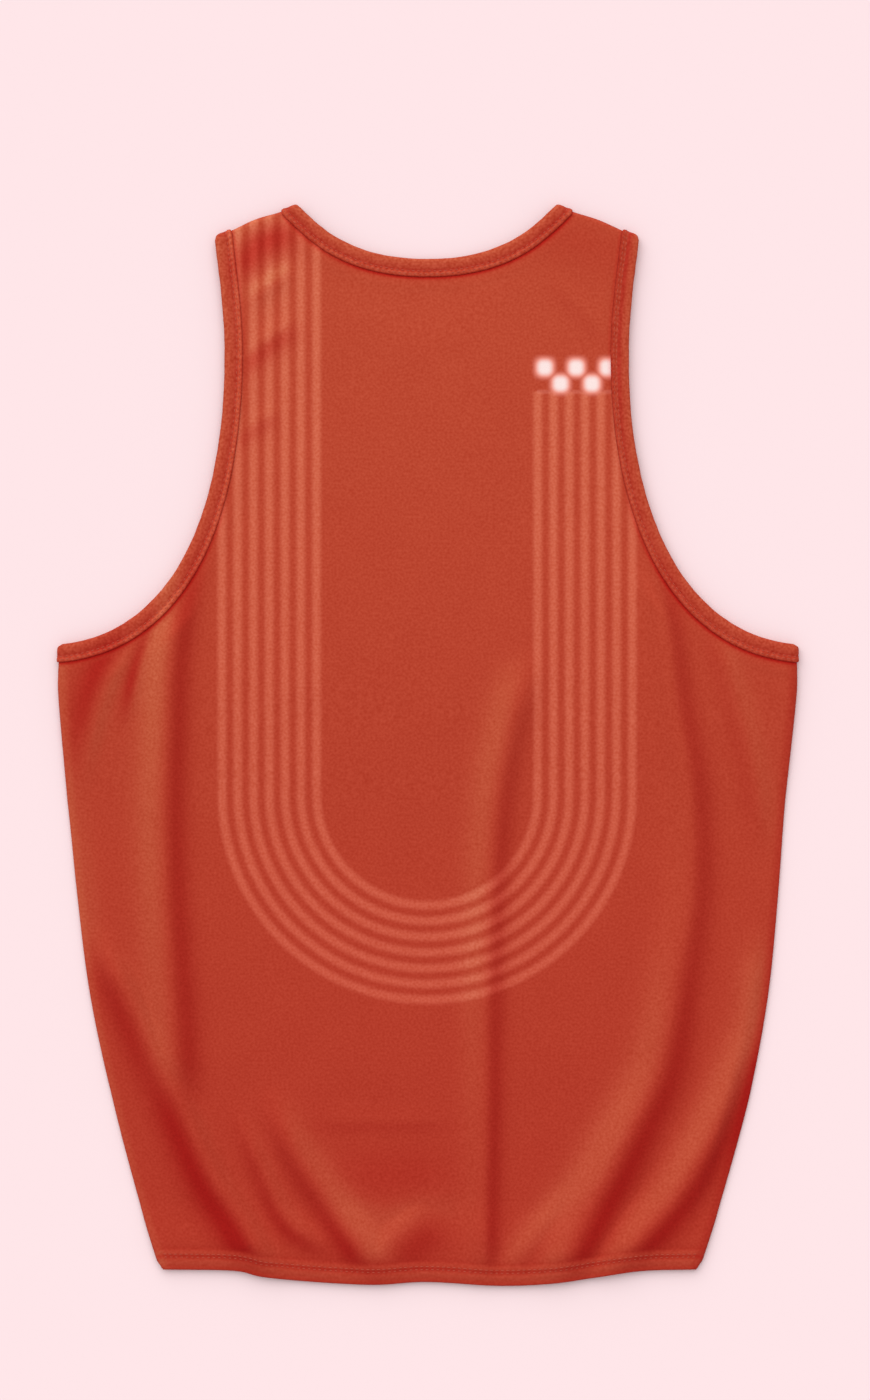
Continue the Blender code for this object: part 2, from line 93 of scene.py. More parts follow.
SIDE_POINTS = (  # down the right side
    (0.2369, 0.028), (0.2318, -0.036), (0.2264, -0.1), (0.219, -0.164), (0.2057, -0.23),
    (0.188, -0.296), (0.1734, -0.3402))
HEM_POINTS = (  # from the left side to the right one
    (-0.1734, -0.3402), (-0.127, -0.341), (-0.109, -0.3448), (-0.076, -0.3482), (-0.036, -0.3501),
    (-0.002, -0.3483), (0.045, -0.3508), (0.078, -0.3494), (0.106, -0.3456), (0.136, -0.3412),
    (0.1734, -0.3402))
SWAY_ROWS = (  # how far to the right the cloth lies at each Y, from the top down
    (0.35, -0.0007), (0.2, -0.0009), (0.064, 0.0), (-0.036, -0.0011), (-0.134, 0.0003),
    (-0.23, 0.0018), (-0.345, 0.001))


# ---- creases
# A ridge along its path with a slope on one side and a lee on the other, which lies to the
# left of the path's direction (+1) or to its right (-1).  Both are wider by the spread at the
# path's end.  The front has a share of the height.  Shade is painted into the knit's colour in
# the lee and a painted highlight up the slope: deep and pale hold how much of each, evenly
# from the path's start to its end.
# Heights, widths and paths are in tenths of a millimetre here.
Crease = namedtuple("Crease", "height slope lee side spread share deep pale path")
CREASES = (
    # under the left armhole, straight down
    Crease(60, 120, 100, 1, 1.25, 0.5, (1,), (1.9, 1, 0.7), (
        (-1490, 1500), (-1615, 960), (-1675, 500), (-1690, 100), (-1705, -360), (-1700, -1010),
        (-1670, -1660), (-1655, -2050), (-1650, -2500))),
    # rays from the left underarm
    Crease(24, 80, 166, -1, 0.7, 0, (1.6, 1.3, 0.6), (0.6, 0.2), (
        (-1760, 1080), (-1944, 673), (-2054, 452), (-2132, 257), (-2200, -36), (-2240, -340))),
    Crease(16, 60, 65, -1, 1, 0, (1.7, 1.4), (0.1,), (
        (-1680, 1120), (-1784, 731), (-1856, 497), (-1908, 257), (-1950, 40))),
    # left side to hem
    Crease(62, 80, 150, -1, 1, 0.5, (0.9, 1.4, 1.8), (0.4, 0.2, 0.3), (
        (-2220, -1120), (-2075, -1400), (-1915, -1700), (-1745, -2060), (-1560, -2470), (-1390, -2830),
        (-1215, -3090), (-1040, -3400), (-900, -3660))),
    # two short ones beside it at the hem
    Crease(30, 60, 70, -1, 1.2, 0, (0.3, 0.8, 1.6), (0.2, 0.5), (
        (-1300, -2280), (-1100, -2733), (-1000, -2961), (-900, -3110), (-754, -3215), (-520, -3340))),
    Crease(48, 100, 88, -1, 1.3, 0.4, (0.2, 1, 1.9), (0.5, 1.1, 1.3), (
        (-1070, -2180), (-955, -2500), (-820, -2745), (-668, -2958), (-505, -3195), (-315, -3430),
        (-170, -3630))),
    # a shallow hollow above the middle of the hem, the knob below it and a faint line above
    Crease(14, 150, 230, 1, 1, 0, (0.45,), (0.6, 0.5), (
        (-780, -2780), (-500, -2930), (-280, -2970), (13, -2935), (300, -2820))),
    Crease(30, 90, 180, -1, 1, 0, (1,), (0.4, 0.5), (
        (-507, -3570), (-364, -3353), (-195, -3178), (-52, -3035), (110, -2930))),
    Crease(4, 60, 65, -1, 1, 0, (0.35,), (0,), (
        (-900, -2440), (-600, -2440), (-30, -2440), (270, -2430))),
    # centre, straight down
    Crease(46, 135, 105, 1, 0.75, 0.5, (0.1, 0.7, 0.8, 0.95, 1), (1, 0.6, 0.1), (
        (710, 660), (665, 520), (585, 290), (495, -100), (436, -500), (396, -1000), (368, -1650),
        (353, -2500), (348, -3400), (348, -3660))),
    # from the right armhole in a long bow to the hem, and the spur at its foot
    Crease(60, 100, 90, 1, 1.8, 0.5, (0.7, 0.8, 1.8), (0, 0, 0.3, 1.7, 1.8), (
        (1430, 1400), (1518, 894), (1599, 276), (1690, -205), (1713, -605), (1698, -1004), (1630, -1401),
        (1560, -1797), (1484, -2116), (1320, -2467), (1100, -2909), (937, -3234), (783, -3546),
        (695, -3740))),
    Crease(22, 80, 110, 1, 1.2, 0, (0.1, 1, 1.5), (0.1, 0.9, 0.9), (
        (1118, -2636), (1040, -2766), (891, -2961), (722, -3156), (566, -3364), (440, -3560))),
    # right side to hem
    Crease(58, 130, 125, 1, 1, 0.4, (0.9, 1.6), (1.1, 1.7, 0.9), (
        (2250, -1100), (2210, -1433), (2157, -1823), (2020, -2148), (1825, -2551), (1600, -2928),
        (1355, -3214), (1121, -3513), (960, -3720))),
    # from the right underarm
    Crease(16, 80, 80, -1, 1.2, 0, (0.3,), (0.4,), (
        (1760, 1000), (1935, 500), (2065, 46), (2150, -361), (2210, -800))),
    # across the left strap, then below the right shoulder and a faint one across that strap
    Crease(10, 70, 170, -1, 1, 0, (1.2, 1.3), (0.6, 0.3), (
        (-1440, 3010), (-1268, 3214), (-1170, 3331), (-1053, 3383), (-897, 3448), (-760, 3520))),
    Crease(12, 70, 60, -1, 1, 0, (0.1,), (0, 1.4), (
        (-1270, 2800), (-1130, 2900), (-1000, 2985), (-820, 3110))),
    Crease(12, 60, 95, -1, 1, 0, (0.85,), (0.1,), (
        (-1340, 2400), (-1214, 2503), (-1097, 2600), (-986, 2678), (-800, 2800))),
    Crease(8, 60, 75, -1, 1, 0, (0.5,), (0.1,), (
        (-1340, 1950), (-1214, 2030), (-1097, 2105), (-920, 2200))),
    Crease(5, 60, 270, -1, 1, 0, (0.42,), (0,), (
        (500, 3640), (1000, 3460), (1650, 3200))),
    Crease(6, 60, 80, -1, 1, 0, (0.2,), (0,), (
        (770, 3110), (906, 2948), (1114, 2722), (1250, 2580))),
)
TENTHS = 10000.0  # in a metre
CREASE_RUN = 0.05  # over which a crease begins and ends
CREASE_RUN_SHARE = 0.35  # of a short crease
SIDE_CALM = (0.002, 0.016)
BOUND_CALM = (0.0135, 0.027)
HEM_CALM = 0.45
HEM_CALM_REACH = (0.0, 0.02)
# how the creases' painted shade and painted highlight fade by the bindings and the hem
TONE_BOUND = (0.0125, 0.0165)
TONE_HEM = (0.01, 0.015)
TONE_IN_HEM = 0.35
TONE_IN_BOUND = 0.5
# painted highlight along the left side fold and painted shade along the right one
SIDE_PALE = 0.8
SIDE_DEEP = 0.6
SIDE_RIM = (0.0048, 0.0012)
SIDE_BROAD = 0.6
SIDE_BROAD_REACH = (0.018, 0.004)
SIDE_BROAD_AT = (-0.1, 0.065)  # its middle and width down the side
SLOPE_PEAK = math.exp(-0.5) * math.sqrt(0.5)  # the steepest value of z * exp(-z * z)
TONE_LIMIT = 1.5

# ---- how finely the cloth is drawn
CURVE_POINTS = 300
RUN_POINTS = 60
SPAN_POINTS = 6
EDGE_STEP = 0.0026
BACK_STEP = 0.0026
FRONT_STEP = 0.0042
FOLD_BLEND = 0.032  # along a bound edge, how far its fold line turns the way in
EDGE_ROWS = (0.006, 0.0105, 0.0116, 0.0124, EDGE_ROW, 0.0143, 0.0162)
HEM_ROWS = (0.0012, 0.0026, 0.004, 0.0054, 0.0068, 0.008, 0.0091, 0.0104, 0.0117, 0.013, 0.0143, 0.0162)
FOLD_TURNS = (0.25, 0.5, 0.75, 1.0)  # shares of the turn from a panel's face to its seam
BINDING_TURNS = tuple(range(15, 180, 15))
HEM_TURNS = (30, 60, 90, 120, 150, 180)
HEM_CORNER = 0.8  # how much of the side fold is drawn in at the hem, to round the corner
HEM_CORNER_REACH = 0.0065
SEED_CLEAR = 0.62  # of a step, between a row and the nearest point of the even grid
MERGE = 1e-7  # nearer than this, two points in plan are one
TINY = 1e-30

# ---- camera and light
VIEW_HEIGHT = 0.91  # how much of the surface the picture's long side takes in
VIEW_CENTRE = (0.00455, 0.0289)
LENS = 100.0
SENSOR = 36.0
CLIP = (0.05, 50.0)
FLOOR_HALF = 6.0
FLOOR_COLOUR = (1.0, 0.791, 0.815)
LIGHT_FROM = (-0.3, 0.95)
LIGHT_ELEVATION = math.radians(48.0)
LIGHT_SHARE = 0.46
LIGHT_TOTAL = 1.24  # what a white level surface would send back, with both lights on it
LIGHT_SPREAD = math.radians(80.0)

# ---- colours (linear, as lit by LIGHT_TOTAL)
KNIT = (0.507, 0.0622, 0.0262)
THREAD = (0.52, 0.072, 0.0335)
WHITE = (0.985, 0.79, 0.76)
BLUSH = (0.89, 0.29, 0.22)

Station = namedtuple("Station", "edge inward")
Layer = namedtuple("Layer", "side height neck arm hem_lift step")  # side: its outside is up (1) or down (-1)

# ---- curves

def ease(low, high, value):
    """0 below low, 1 above high and a smooth rise between; low may be the larger."""
    share = np.clip((np.asarray(value, float) - low) / (high - low), 0.0, 1.0)
    return share * share * (3.0 - 2.0 * share)


def hump(value, middle, width):
    return np.exp(-(((value - middle) / width) ** 2))


def by_height(rows, y):
    """The value at each Y, from rows of a Y and its value, the top one first."""
    rows = np.array(rows)[::-1]
    return np.interp(y, rows[:, 0], rows[:, 1])


def through(points, per_span):
    """A Catmull-Rom curve through points, with per_span steps from each to the next."""
    p = np.array(points, float)
    p = np.vstack((2 * p[0] - p[1], p, 2 * p[-1] - p[-2]))
    t = np.linspace(0.0, 1.0, per_span, endpoint=False)[:, None]
    runs = []
    for a, b, c, d in zip(p, p[1:], p[2:], p[3:]):
        runs.append(b + 0.5 * t * (c - a + t * (2 * a - 5 * b + 4 * c - d + t * (3 * (b - c) + d - a))))
    return np.vstack(runs + [p[-2:-1]])


def bezier(a, b, c, d, count):
    t = np.linspace(0.0, 1.0, count)[:, None]
    a, b, c, d = (np.array(v, float) for v in (a, b, c, d))
    return (1 - t) ** 3 * a + 3 * (1 - t) ** 2 * t * b + 3 * (1 - t) * t ** 2 * c + t ** 3 * d


def lengths(curve):
    """How far along the curve each of its points is."""
    return np.concatenate(([0.0], np.cumsum(np.linalg.norm(np.diff(curve, axis=0), axis=1))))


def even(curve, count):
    """The same curve with count points at equal distances."""
    along = lengths(curve)
    marks = np.linspace(0.0, along[-1], count)
    return np.column_stack([np.interp(marks, along, curve[:, k]) for k in range(curve.shape[1])])


def spaced(curve, step):
    """The same curve with a point about every step."""
    return even(curve, max(3, round(lengths(curve)[-1] / step) + 1))


def unit(vector):
    return np.array(vector, float) / np.linalg.norm(vector)


def unit_rows(vectors):
    return vectors / np.maximum(np.linalg.norm(vectors, axis=-1, keepdims=True), TINY)


def across(curve):
    """The direction to the left of a curve at each of its points."""
    tangent = np.gradient(curve, axis=0)
    left = np.column_stack((-tangent[:, 1], tangent[:, 0]))
    return left / np.linalg.norm(left, axis=1)[:, None]


def mirrored(points):
    return np.array(points, float) * (-1.0, 1.0)


def near(path, points):
    """Each point's distance from a path, its side of it (+1 left) and how far along it is."""
    start, step = path[:-1], np.diff(path, axis=0)
    length = np.linalg.norm(step, axis=1)
    offset = points[:, None] - start
    share = np.clip((offset * step).sum(2) / length ** 2, 0.0, 1.0)
    gap = offset - share[..., None] * step
    distance = np.linalg.norm(gap, axis=2)
    best = distance.argmin(1)
    rows = np.arange(len(points))
    gap = gap[rows, best]
    side = np.sign(step[best, 0] * gap[:, 1] - step[best, 1] * gap[:, 0])
    along = np.cumsum(length)[best] - length[best] * (1.0 - share[rows, best])
    return distance[rows, best], side, along


# ---- edges in plan

def neck_curve(controls):
    """A neck edge from the left shoulder to the right one."""
    right = bezier(NECK_POINT, *controls, CURVE_POINTS)
    return np.vstack((mirrored(right), right[::-1][1:]))


def arm_curve(scoop):
    """The right armhole from the shoulder tip to the underarm."""
    waist, above, below = (
        np.array(point) - (scoop, 0.0)
        for point in (ARM_WAIST, ARM_UPPER_CONTROLS[1], ARM_LOWER_CONTROLS[0])
    )
    upper = bezier(SHOULDER_TIP, ARM_UPPER_CONTROLS[0], above, waist, CURVE_POINTS)
    lower = bezier(waist, below, ARM_LOWER_CONTROLS[1], UNDERARM, CURVE_POINTS)
    return np.vstack((upper, lower[1:]))


def stations(curve, first_beside, last_beside, inner_point):
    """A station at each point.  Towards both ends the way in turns to the fold line there."""
    inward = across(curve)
    middle = len(curve) // 2
    if np.dot(inward[middle], np.array(inner_point) - curve[middle]) < 0:
        inward = -inward
    along = lengths(curve)
    for end, beside, run in ((0, first_beside, along), (-1, last_beside, along[-1] - along)):
        line = unit(np.array(beside) - curve[end])
        line = line / np.dot(line, inward[end])
        turn = ease(FOLD_BLEND, 0.0, run)[:, None]
        inward = inward + turn * (line - inward[end])
    return [Station(*pair) for pair in zip(curve, inward)]


def neck_stations(layer):
    curve = spaced(neck_curve(layer.neck), EDGE_STEP)
    return stations(curve, mirrored(NECK_SIDE), NECK_SIDE, (0.0, 0.0))


def arm_stations(layer, mirror):
    curve = spaced(arm_curve(layer.arm), EDGE_STEP)
    run = stations(curve, TIP_SIDE, UNDERARM_SIDE, (0.0, 0.2))
    if mirror:
        return [Station(mirrored(s.edge), mirrored(s.inward)) for s in run]
    return run


def hem_stations(layer):
    curve = spaced(through(HEM_POINTS, SPAN_POINTS), EDGE_STEP) + (0.0, layer.hem_lift)
    right = SIDE_POINTS[-2]
    return stations(curve, mirrored(right), right, (0.0, 0.0))


def inside(run, distance):
    return np.array([s.edge + s.inward * distance for s in run])


def side_fold(layer, mirror):
    """The right side's fold line, from just under the binding to just above the hem's fold."""
    top = inside(arm_stations(layer, False)[-1:], EDGE_ROWS[-1])[0]
    foot = inside(hem_stations(layer)[-1:], HEM_ROWS[-1])[0]
    line = spaced(through([top, *SIDE_POINTS[:-1], foot], SPAN_POINTS), EDGE_STEP)
    return mirrored(line) if mirror else line


def shoulder_fold(layer):
    """The right shoulder's fold line between its two bindings, from neck to tip."""
    a = inside(neck_stations(layer)[-1:], EDGE_ROWS[-1])[0]
    b = inside(arm_stations(layer, False)[:1], EDGE_ROWS[-1])[0]
    return spaced(np.array((a, b)), EDGE_STEP)


# ---- heights

def from_runs(points, *runs):
    """Distance of each point from the nearest of some runs."""
    return np.min([near(run, points)[0] for run in runs], axis=0)


def from_bindings(points, layer):
    arm = even(arm_curve(layer.arm), RUN_POINTS)
    return from_runs(points, even(neck_curve(layer.neck), RUN_POINTS), arm, mirrored(arm))


def from_sides(points):
    side = through((UNDERARM, UNDERARM_SIDE) + SIDE_POINTS, SPAN_POINTS)
    return from_runs(points, side, mirrored(side))


def from_hem(points):
    return from_runs(points, through(HEM_POINTS, SPAN_POINTS))


def rising(least, reach, distance):
    """From least to 1 over a reach."""
    return least + (1.0 - least) * ease(*reach, distance)


def calm(points):
    """How much of a crease there is left at each point."""
    edges = ease(*SIDE_CALM, from_sides(points)) * ease(*BOUND_CALM, from_bindings(points, BACK))
    return edges * rising(HEM_CALM, HEM_CALM_REACH, from_hem(points))


def along_crease(crease, points):
    """Distances across a crease in its own widths, whether in the lee, its strength, the share."""
    path = through(np.array(crease.path) / TENTHS, SPAN_POINTS)
    distance, side, along = near(path, points)
    whole = lengths(path)[-1]
    share = along / whole
    lee = side * crease.side > 0
    z = distance / (np.where(lee, crease.lee, crease.slope) / TENTHS) / (1.0 + (crease.spread - 1.0) * share)
    run = min(CREASE_RUN, CREASE_RUN_SHARE * whole)
    ends = ease(0.0, run, along) * ease(whole, whole - run, along)
    return z, lee, ends, share


def creases(points, shared):
    """How high the creases lift the cloth: in full on the back, by their share on the front."""
    lift = np.zeros(len(points))
    for crease in CREASES:
        z, _, ends, _ = along_crease(crease, points)
        height = crease.height / TENTHS * (crease.share if shared else 1.0)
        lift = np.maximum(lift, height * np.exp(-z * z) * ends)
    return lift * calm(points)


def side_tone(points):
    """Paler where the left fold turns to the light, and deeper where the right one turns away."""
    off = from_sides(points)
    broad = SIDE_BROAD * ease(*SIDE_BROAD_REACH, off) * hump(points[:, 1], *SIDE_BROAD_AT)
    left = SIDE_PALE * ease(*SIDE_RIM, off) + broad
    return np.where(points[:, 0] < 0.0, left, -SIDE_DEEP * ease(*SIDE_RIM, off))


def crease_tone(points):
    """Painted shade, below 0, in the creases' lees and painted highlight, above 0, up their slopes."""
    tone = np.zeros(len(points))
    for crease in CREASES:
        z, lee, ends, share = along_crease(crease, points)
        steep = z * np.exp(-z * z) / SLOPE_PEAK * ends
        deep, pale = (
            np.interp(share, np.linspace(0.0, 1.0, len(run)), run) for run in (crease.deep, crease.pale)
        )
        tone += steep * np.where(lee, -deep, pale)
    hem = rising(TONE_IN_HEM, TONE_HEM, from_hem(points))
    return tone * hem * rising(TONE_IN_BOUND, TONE_BOUND, from_bindings(points, BACK))


def limited(tone):
    return np.clip(tone, -TONE_LIMIT, TONE_LIMIT)


def back_height(points):
    x, y = points[:, 0], points[:, 1]
    base = BACK_FLAT + (BACK_BOUND - BACK_FLAT) * ease(YOKE_FOOT, YOKE_TOP, y)
    base += (BACK_HEM - BACK_FLAT) * ease(HEM_RISE_TOP, HEM_RISE_FOOT, y)
    reach = np.hypot(x / NECK_SAG_REACH[0], (y - NECK_SAG_CENTRE) / NECK_SAG_REACH[1])
    return base - NECK_SAG * ease(*NECK_SAG_EDGE, reach) + creases(points, False)


def front_height(points):
    bound = from_bindings(points, FRONT)
    raised = STACK * ease(BOUND_RELEASE, EDGE_ROW, bound)
    free = ease(BOUND_RELEASE, 2 * BOUND_RELEASE, bound)
    return FRONT_FLAT + raised + creases(points, True) * free


BACK = Layer(1, back_height, BACK_NECK_CONTROLS, 0.0, 0.0, BACK_STEP)
FRONT = Layer(-1, front_height, FRONT_NECK_CONTROLS, FRONT_ARM_SCOOP, FRONT_HEM_SHORT, FRONT_STEP)


def fold_middle(points):
    """Where the two layers' fold has its centre, and its radius, at points on a fold line."""
    top, low = back_height(points), front_height(points)
    return (top + low) / 2, (top - low) / 2


# ---- relief of hem and seams
HEM_RELIEF = (  # how far in from the edge, half the width, how much
    (0.0045, 0.0026, 0.00045), (0.007, 0.0014, -0.0004), (0.0094, 0.0014, 0.00045),
    (0.0125, 0.0014, -0.0003))
SEAM_PUFF = (0.0172, 0.003, 0.00035)
# the hem's rows: painted shade along its grooves and folded edge, painted highlight along its ridges
HEM_LINES = (  # below 0 for a pale one
    (0.0078, 0.0014, 0.5), (0.0133, 0.0014, 0.15), (0.0103, 0.0012, -0.3),
    (0.0046, 0.0026, -0.36), (0.0004, 0.0009, 0.2))
# the dark line beside a binding is the shadow of its raised edge, painted on the panel
SEAM_LINE = (0.0149, 0.0122)  # the dark line beside a binding, from its end to where it is whole
ARM_SEAM = (  # how strong that line is down an armhole, by Y from the top down
    (0.33, 0.45), (0.26, 0.35), (0.21, 0.05), (0.17, 0.15), (0.135, 0.6), (0.105, 1.0))
NECK_FAINT = 0.35  # how much fainter it is by the left shoulder
NECK_FAINT_FROM = (-0.045, -0.065)
# up the right strap, the painted shade in the armhole's groove of stitches grows and the painted highlight
# on its ridge fades
STRAP = (0.16, 0.24)  # up which the right armhole's row of stitches turns deep
STRAP_INNER = 0.108  # nearer the middle than this, a seam is the neck's
RELIEF_FOLD = (0.0, 0.006)  # in from a fold line, where relief begins
FRONT_RELIEF = 0.3  # of it, on the front
FRONT_LIMIT = 0.0001  # how far that may rise towards the back
WANDER = 0.00035  # height of the cloth's slight unevenness
WANDER_FINE = (38.0, 24.0)
WANDER_SEED = (3.7,)
WANDER_FOLD = (0.0, 0.02)
WANDER_EDGE = (0.012, 0.03)
PUCKER = 0.00012  # and of its puckers beside a binding
PUCKER_FINE = 190.0
PUCKER_SEED = (9.1,)
PUCKER_END = (0.024, 0.014)
PUCKER_START = (0.0108, 0.0128)


def bands(distance, rows):
    return sum(amount * hump(distance, depth, width) for depth, width, amount in rows)


def uneven(places, seed):
    """Smooth noise at each place; the seed is the rest of its three coordinates."""
    return np.array([noise.noise(Vector((*place, *seed))) for place in places])


def from_folds(points):
    """Distance from the side and shoulder fold lines, where the two panels turn to their seam."""
    shoulder = np.array((NECK_POINT, NECK_SIDE, TIP_SIDE, SHOULDER_TIP))
    return np.minimum(from_sides(points), from_runs(points, shoulder, mirrored(shoulder)))


def panel_relief(points, layer):
    """The pressed hem, the puff beside each binding and a slight unevenness of the cloth."""
    hem = from_hem(points - (0.0, layer.hem_lift))
    bound = from_bindings(points, layer)
    folds = from_folds(points)
    start = ease(*RELIEF_FOLD, folds)
    relief = (bands(hem, HEM_RELIEF) + bands(bound, (SEAM_PUFF,))) * start
    if layer.side < 0:
        return np.minimum(-relief * FRONT_RELIEF, FRONT_LIMIT)
    wander = WANDER * uneven(points * WANDER_FINE, WANDER_SEED)
    wander = wander * (ease(*WANDER_FOLD, folds) * ease(*WANDER_EDGE, bound)) * ease(*WANDER_EDGE, hem)
    beside = ease(*PUCKER_END, bound) * ease(*PUCKER_START, bound) * start
    return relief + wander + PUCKER * uneven(points * PUCKER_FINE, PUCKER_SEED) * beside


def seam_painted_light(points, layer):
    """1 in the painted shadow beside the bindings, and less along the hem's rows of painted shade and
    painted highlight.
    """
    x, y = points[:, 0], points[:, 1]
    lines = bands(from_hem(points - (0.0, layer.hem_lift)), HEM_LINES)
    neck = 1.0 - NECK_FAINT * ease(*NECK_FAINT_FROM, x)
    strength = np.where(abs(x) > STRAP_INNER, by_height(ARM_SEAM, y), neck)
    return ease(*SEAM_LINE, from_bindings(points, layer)) * strength + lines


# ---- meshes

def add_object(name, data):
    item = bpy.data.objects.new(name, data)
    bpy.context.scene.collection.objects.link(item)
    return item


def cloth_object(name, points, faces, material, thickness=SHELL, **attributes):
    """A sheet with points and faces as its middle; attributes hold a value for each point."""
    mesh = bpy.data.meshes.new(name)
    placed = np.array(points, float)
    placed[:, 0] += by_height(SWAY_ROWS, placed[:, 1])
    mesh.from_pydata(placed.tolist(), [], faces)
    for label, values in attributes.items():
        layer = mesh.attributes.new(label, "FLOAT", "POINT")
        layer.data.foreach_set("value", np.asarray(values, np.float32))
    shape = bmesh.new()
    shape.from_mesh(mesh)
    bmesh.ops.recalc_face_normals(shape, faces=shape.faces)
    shape.to_mesh(mesh)
    shape.free()
    mesh.shade_smooth()
    mesh.materials.append(material)
    item = add_object(name, mesh)
    if thickness:
        wall = item.modifiers.new("wall", "SOLIDIFY")
        wall.thickness = thickness
        wall.offset = 0.0
        wall.use_even_offset = wall.use_quality_normals = True
    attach(item, "root")
    return item


def outward_of(line):
    """The plan direction away from the middle of the garment at each point of a fold line."""
    out = across(line)
    middle = len(line) // 2
    return out if np.dot(out[middle], line[middle]) > 0 else -out


def enclosed(points, border):
    """Whether a closed border goes round each point."""
    odd = np.zeros(len(points), bool)
    x, y = points[:, 0], points[:, 1]
    for a, b in zip(border, np.roll(border, -1, axis=0)):
        crosses = (a[1] > y) != (b[1] > y)
        if crosses.any():
            odd ^= crosses & (x < a[0] + (y - a[1]) / (b[1] - a[1] + TINY) * (b[0] - a[0]))
    return odd


def inner_seeds(outline, rows, step):
    """Points of an even triangular grid inside an outline and clear of its rows."""
    low, high = outline.min(0), outline.max(0)
    rise = step * math.sqrt(0.75)
    lines = []
    for k, y in enumerate(np.arange(low[1], high[1], rise)):
        x = np.arange(low[0] + step / 2 * (k % 2), high[0], step)
        lines.append(np.column_stack((x, np.full(len(x), y))))
    seeds = np.vstack(lines)
    seeds = seeds[enclosed(seeds, outline)]
    fixed = np.vstack([outline] + rows)
    tree = KDTree(len(fixed))
    for k, point in enumerate(fixed):
        tree.insert((*point, 0.0), k)
    tree.balance()
    clear = [tree.find((*seed, 0.0))[2] > SEED_CLEAR * step for seed in seeds]
    return seeds[clear]


def triangles(outline, rows, step):
    """Triangles over an outline in plan, through rows of points and an even grid."""
    seeds = inner_seeds(outline, rows, step)
    points = np.vstack([outline] + rows + [seeds])
    chains = []
    start = len(outline)
    for row in rows:
        chains.extend((start + k, start + k + 1) for k in range(len(row) - 1))
        start += len(row)
    loop = list(range(len(outline)))
    found = delaunay_2d_cdt([Vector(p) for p in points], chains, [loop], 1, MERGE)
    return np.array([tuple(p) for p in found[0]]), [list(face) for face in found[2]]


def strip(first, second):
    """Quads between two rows of point numbers."""
    return [(a, b, d, c) for a, b, c, d in zip(first, first[1:], second, second[1:])]


def add_row(points, faces, last, row):
    """Joins a new row of points to the last one by quads."""
    ids = list(range(len(points), len(points) + len(row)))
    faces.extend(strip(last, ids))
    return np.vstack((points, row)), ids


def turned_edge(points, faces, ids, layer):
    """The panel's edge rolls round its fold line and ends at the seam."""
    line = points[ids][:, :2]
    out = outward_of(line)
    middle, radius = fold_middle(line)
    seam = np.arccos(SEAM_GAP / 2 / radius)
    rounded = radius * (1.0 - HEM_CORNER * ease(HEM_CORNER_REACH, 0.0, from_hem(line)))
    last = ids
    for share in FOLD_TURNS:
        reach = rounded * np.sin(share * seam)
        rise = radius * np.cos(share * seam)
        row = np.column_stack((line + out * reach[:, None], middle + layer.side * rise))
        points, last = add_row(points, faces, last, row)
    return points


def turned_hem(points, faces, ids, layer, run):
    """The hem's edge folds under (back) or over (front) and lies along the panel's inside."""
    edge = points[ids]
    inward = np.array([s.inward for s in run])
    last = ids
    for turn in HEM_TURNS:
        out = HEM_RADIUS * math.sin(math.radians(turn))
        drop = HEM_RADIUS * (1.0 - math.cos(math.radians(turn)))
        row = np.column_stack((edge[:, :2] - inward * out, edge[:, 2] - layer.side * drop))
        points, last = add_row(points, faces, last, row)
    for depth in (HEM_DEPTH / 3, HEM_DEPTH * 2 / 3, HEM_DEPTH):
        plan = inside(run, depth)
        row = np.column_stack((plan, layer.height(plan) - layer.side * STACK))
        points, last = add_row(points, faces, last, row)
    return points


def corner_row(station, depths):
    """Points down a fold line beside a corner, where the rows along an edge end."""
    return np.array([station.edge + station.inward * depth for depth in depths])


def panel(name, layer, material):
    """A whole panel: its face, the edges that turn to the seams, and its hem."""
    neck = neck_stations(layer)
    right, left = arm_stations(layer, False), arm_stations(layer, True)
    hem = hem_stations(layer)[::-1]
    shoulder = shoulder_fold(layer)
    bound, foot = EDGE_ROWS[:-1], HEM_ROWS[:-1]
    runs = (
        inside(neck, RAW_EDGE),
        corner_row(neck[-1], bound), shoulder, corner_row(right[0], bound)[::-1],
        inside(right, RAW_EDGE),
        corner_row(right[-1], bound), side_fold(layer, False), corner_row(hem[0], foot)[::-1],
        inside(hem, 0.0),
        corner_row(hem[-1], foot), side_fold(layer, True)[::-1], corner_row(left[-1], bound)[::-1],
        inside(left, RAW_EDGE)[::-1],
        corner_row(left[0], bound), mirrored(shoulder)[::-1], corner_row(neck[0], bound)[::-1],
    )
    ends = np.cumsum([len(run) for run in runs])
    ids = [list(range(end - len(run), end)) for end, run in zip(ends, runs)]
    rows = [inside(run, depth)[1:-1] for run in (neck, right, left) for depth in EDGE_ROWS]
    rows.extend(inside(hem, depth)[1:-1] for depth in HEM_ROWS)
    plan, faces = triangles(np.vstack(runs), rows, layer.step)
    points = np.column_stack((plan, layer.height(plan) + panel_relief(plan, layer)))
    for k in range(0, len(ids), 4):
        fold = ids[k][-1:] + ids[k + 1] + ids[k + 2] + ids[k + 3] + ids[(k + 4) % len(ids)][:1]
        points = turned_edge(points, faces, fold, layer)
    points = turned_hem(points, faces, ids[8], layer, hem)
    plan = points[:, :2]
    # painted shade and painted highlight of the creases and the side folds, on the back only
    tone = limited(crease_tone(plan) + side_tone(plan)) if layer.side > 0 else np.zeros(len(plan))
    return cloth_object(name, points, faces, material, tone=tone, seam=seam_painted_light(plan, layer))


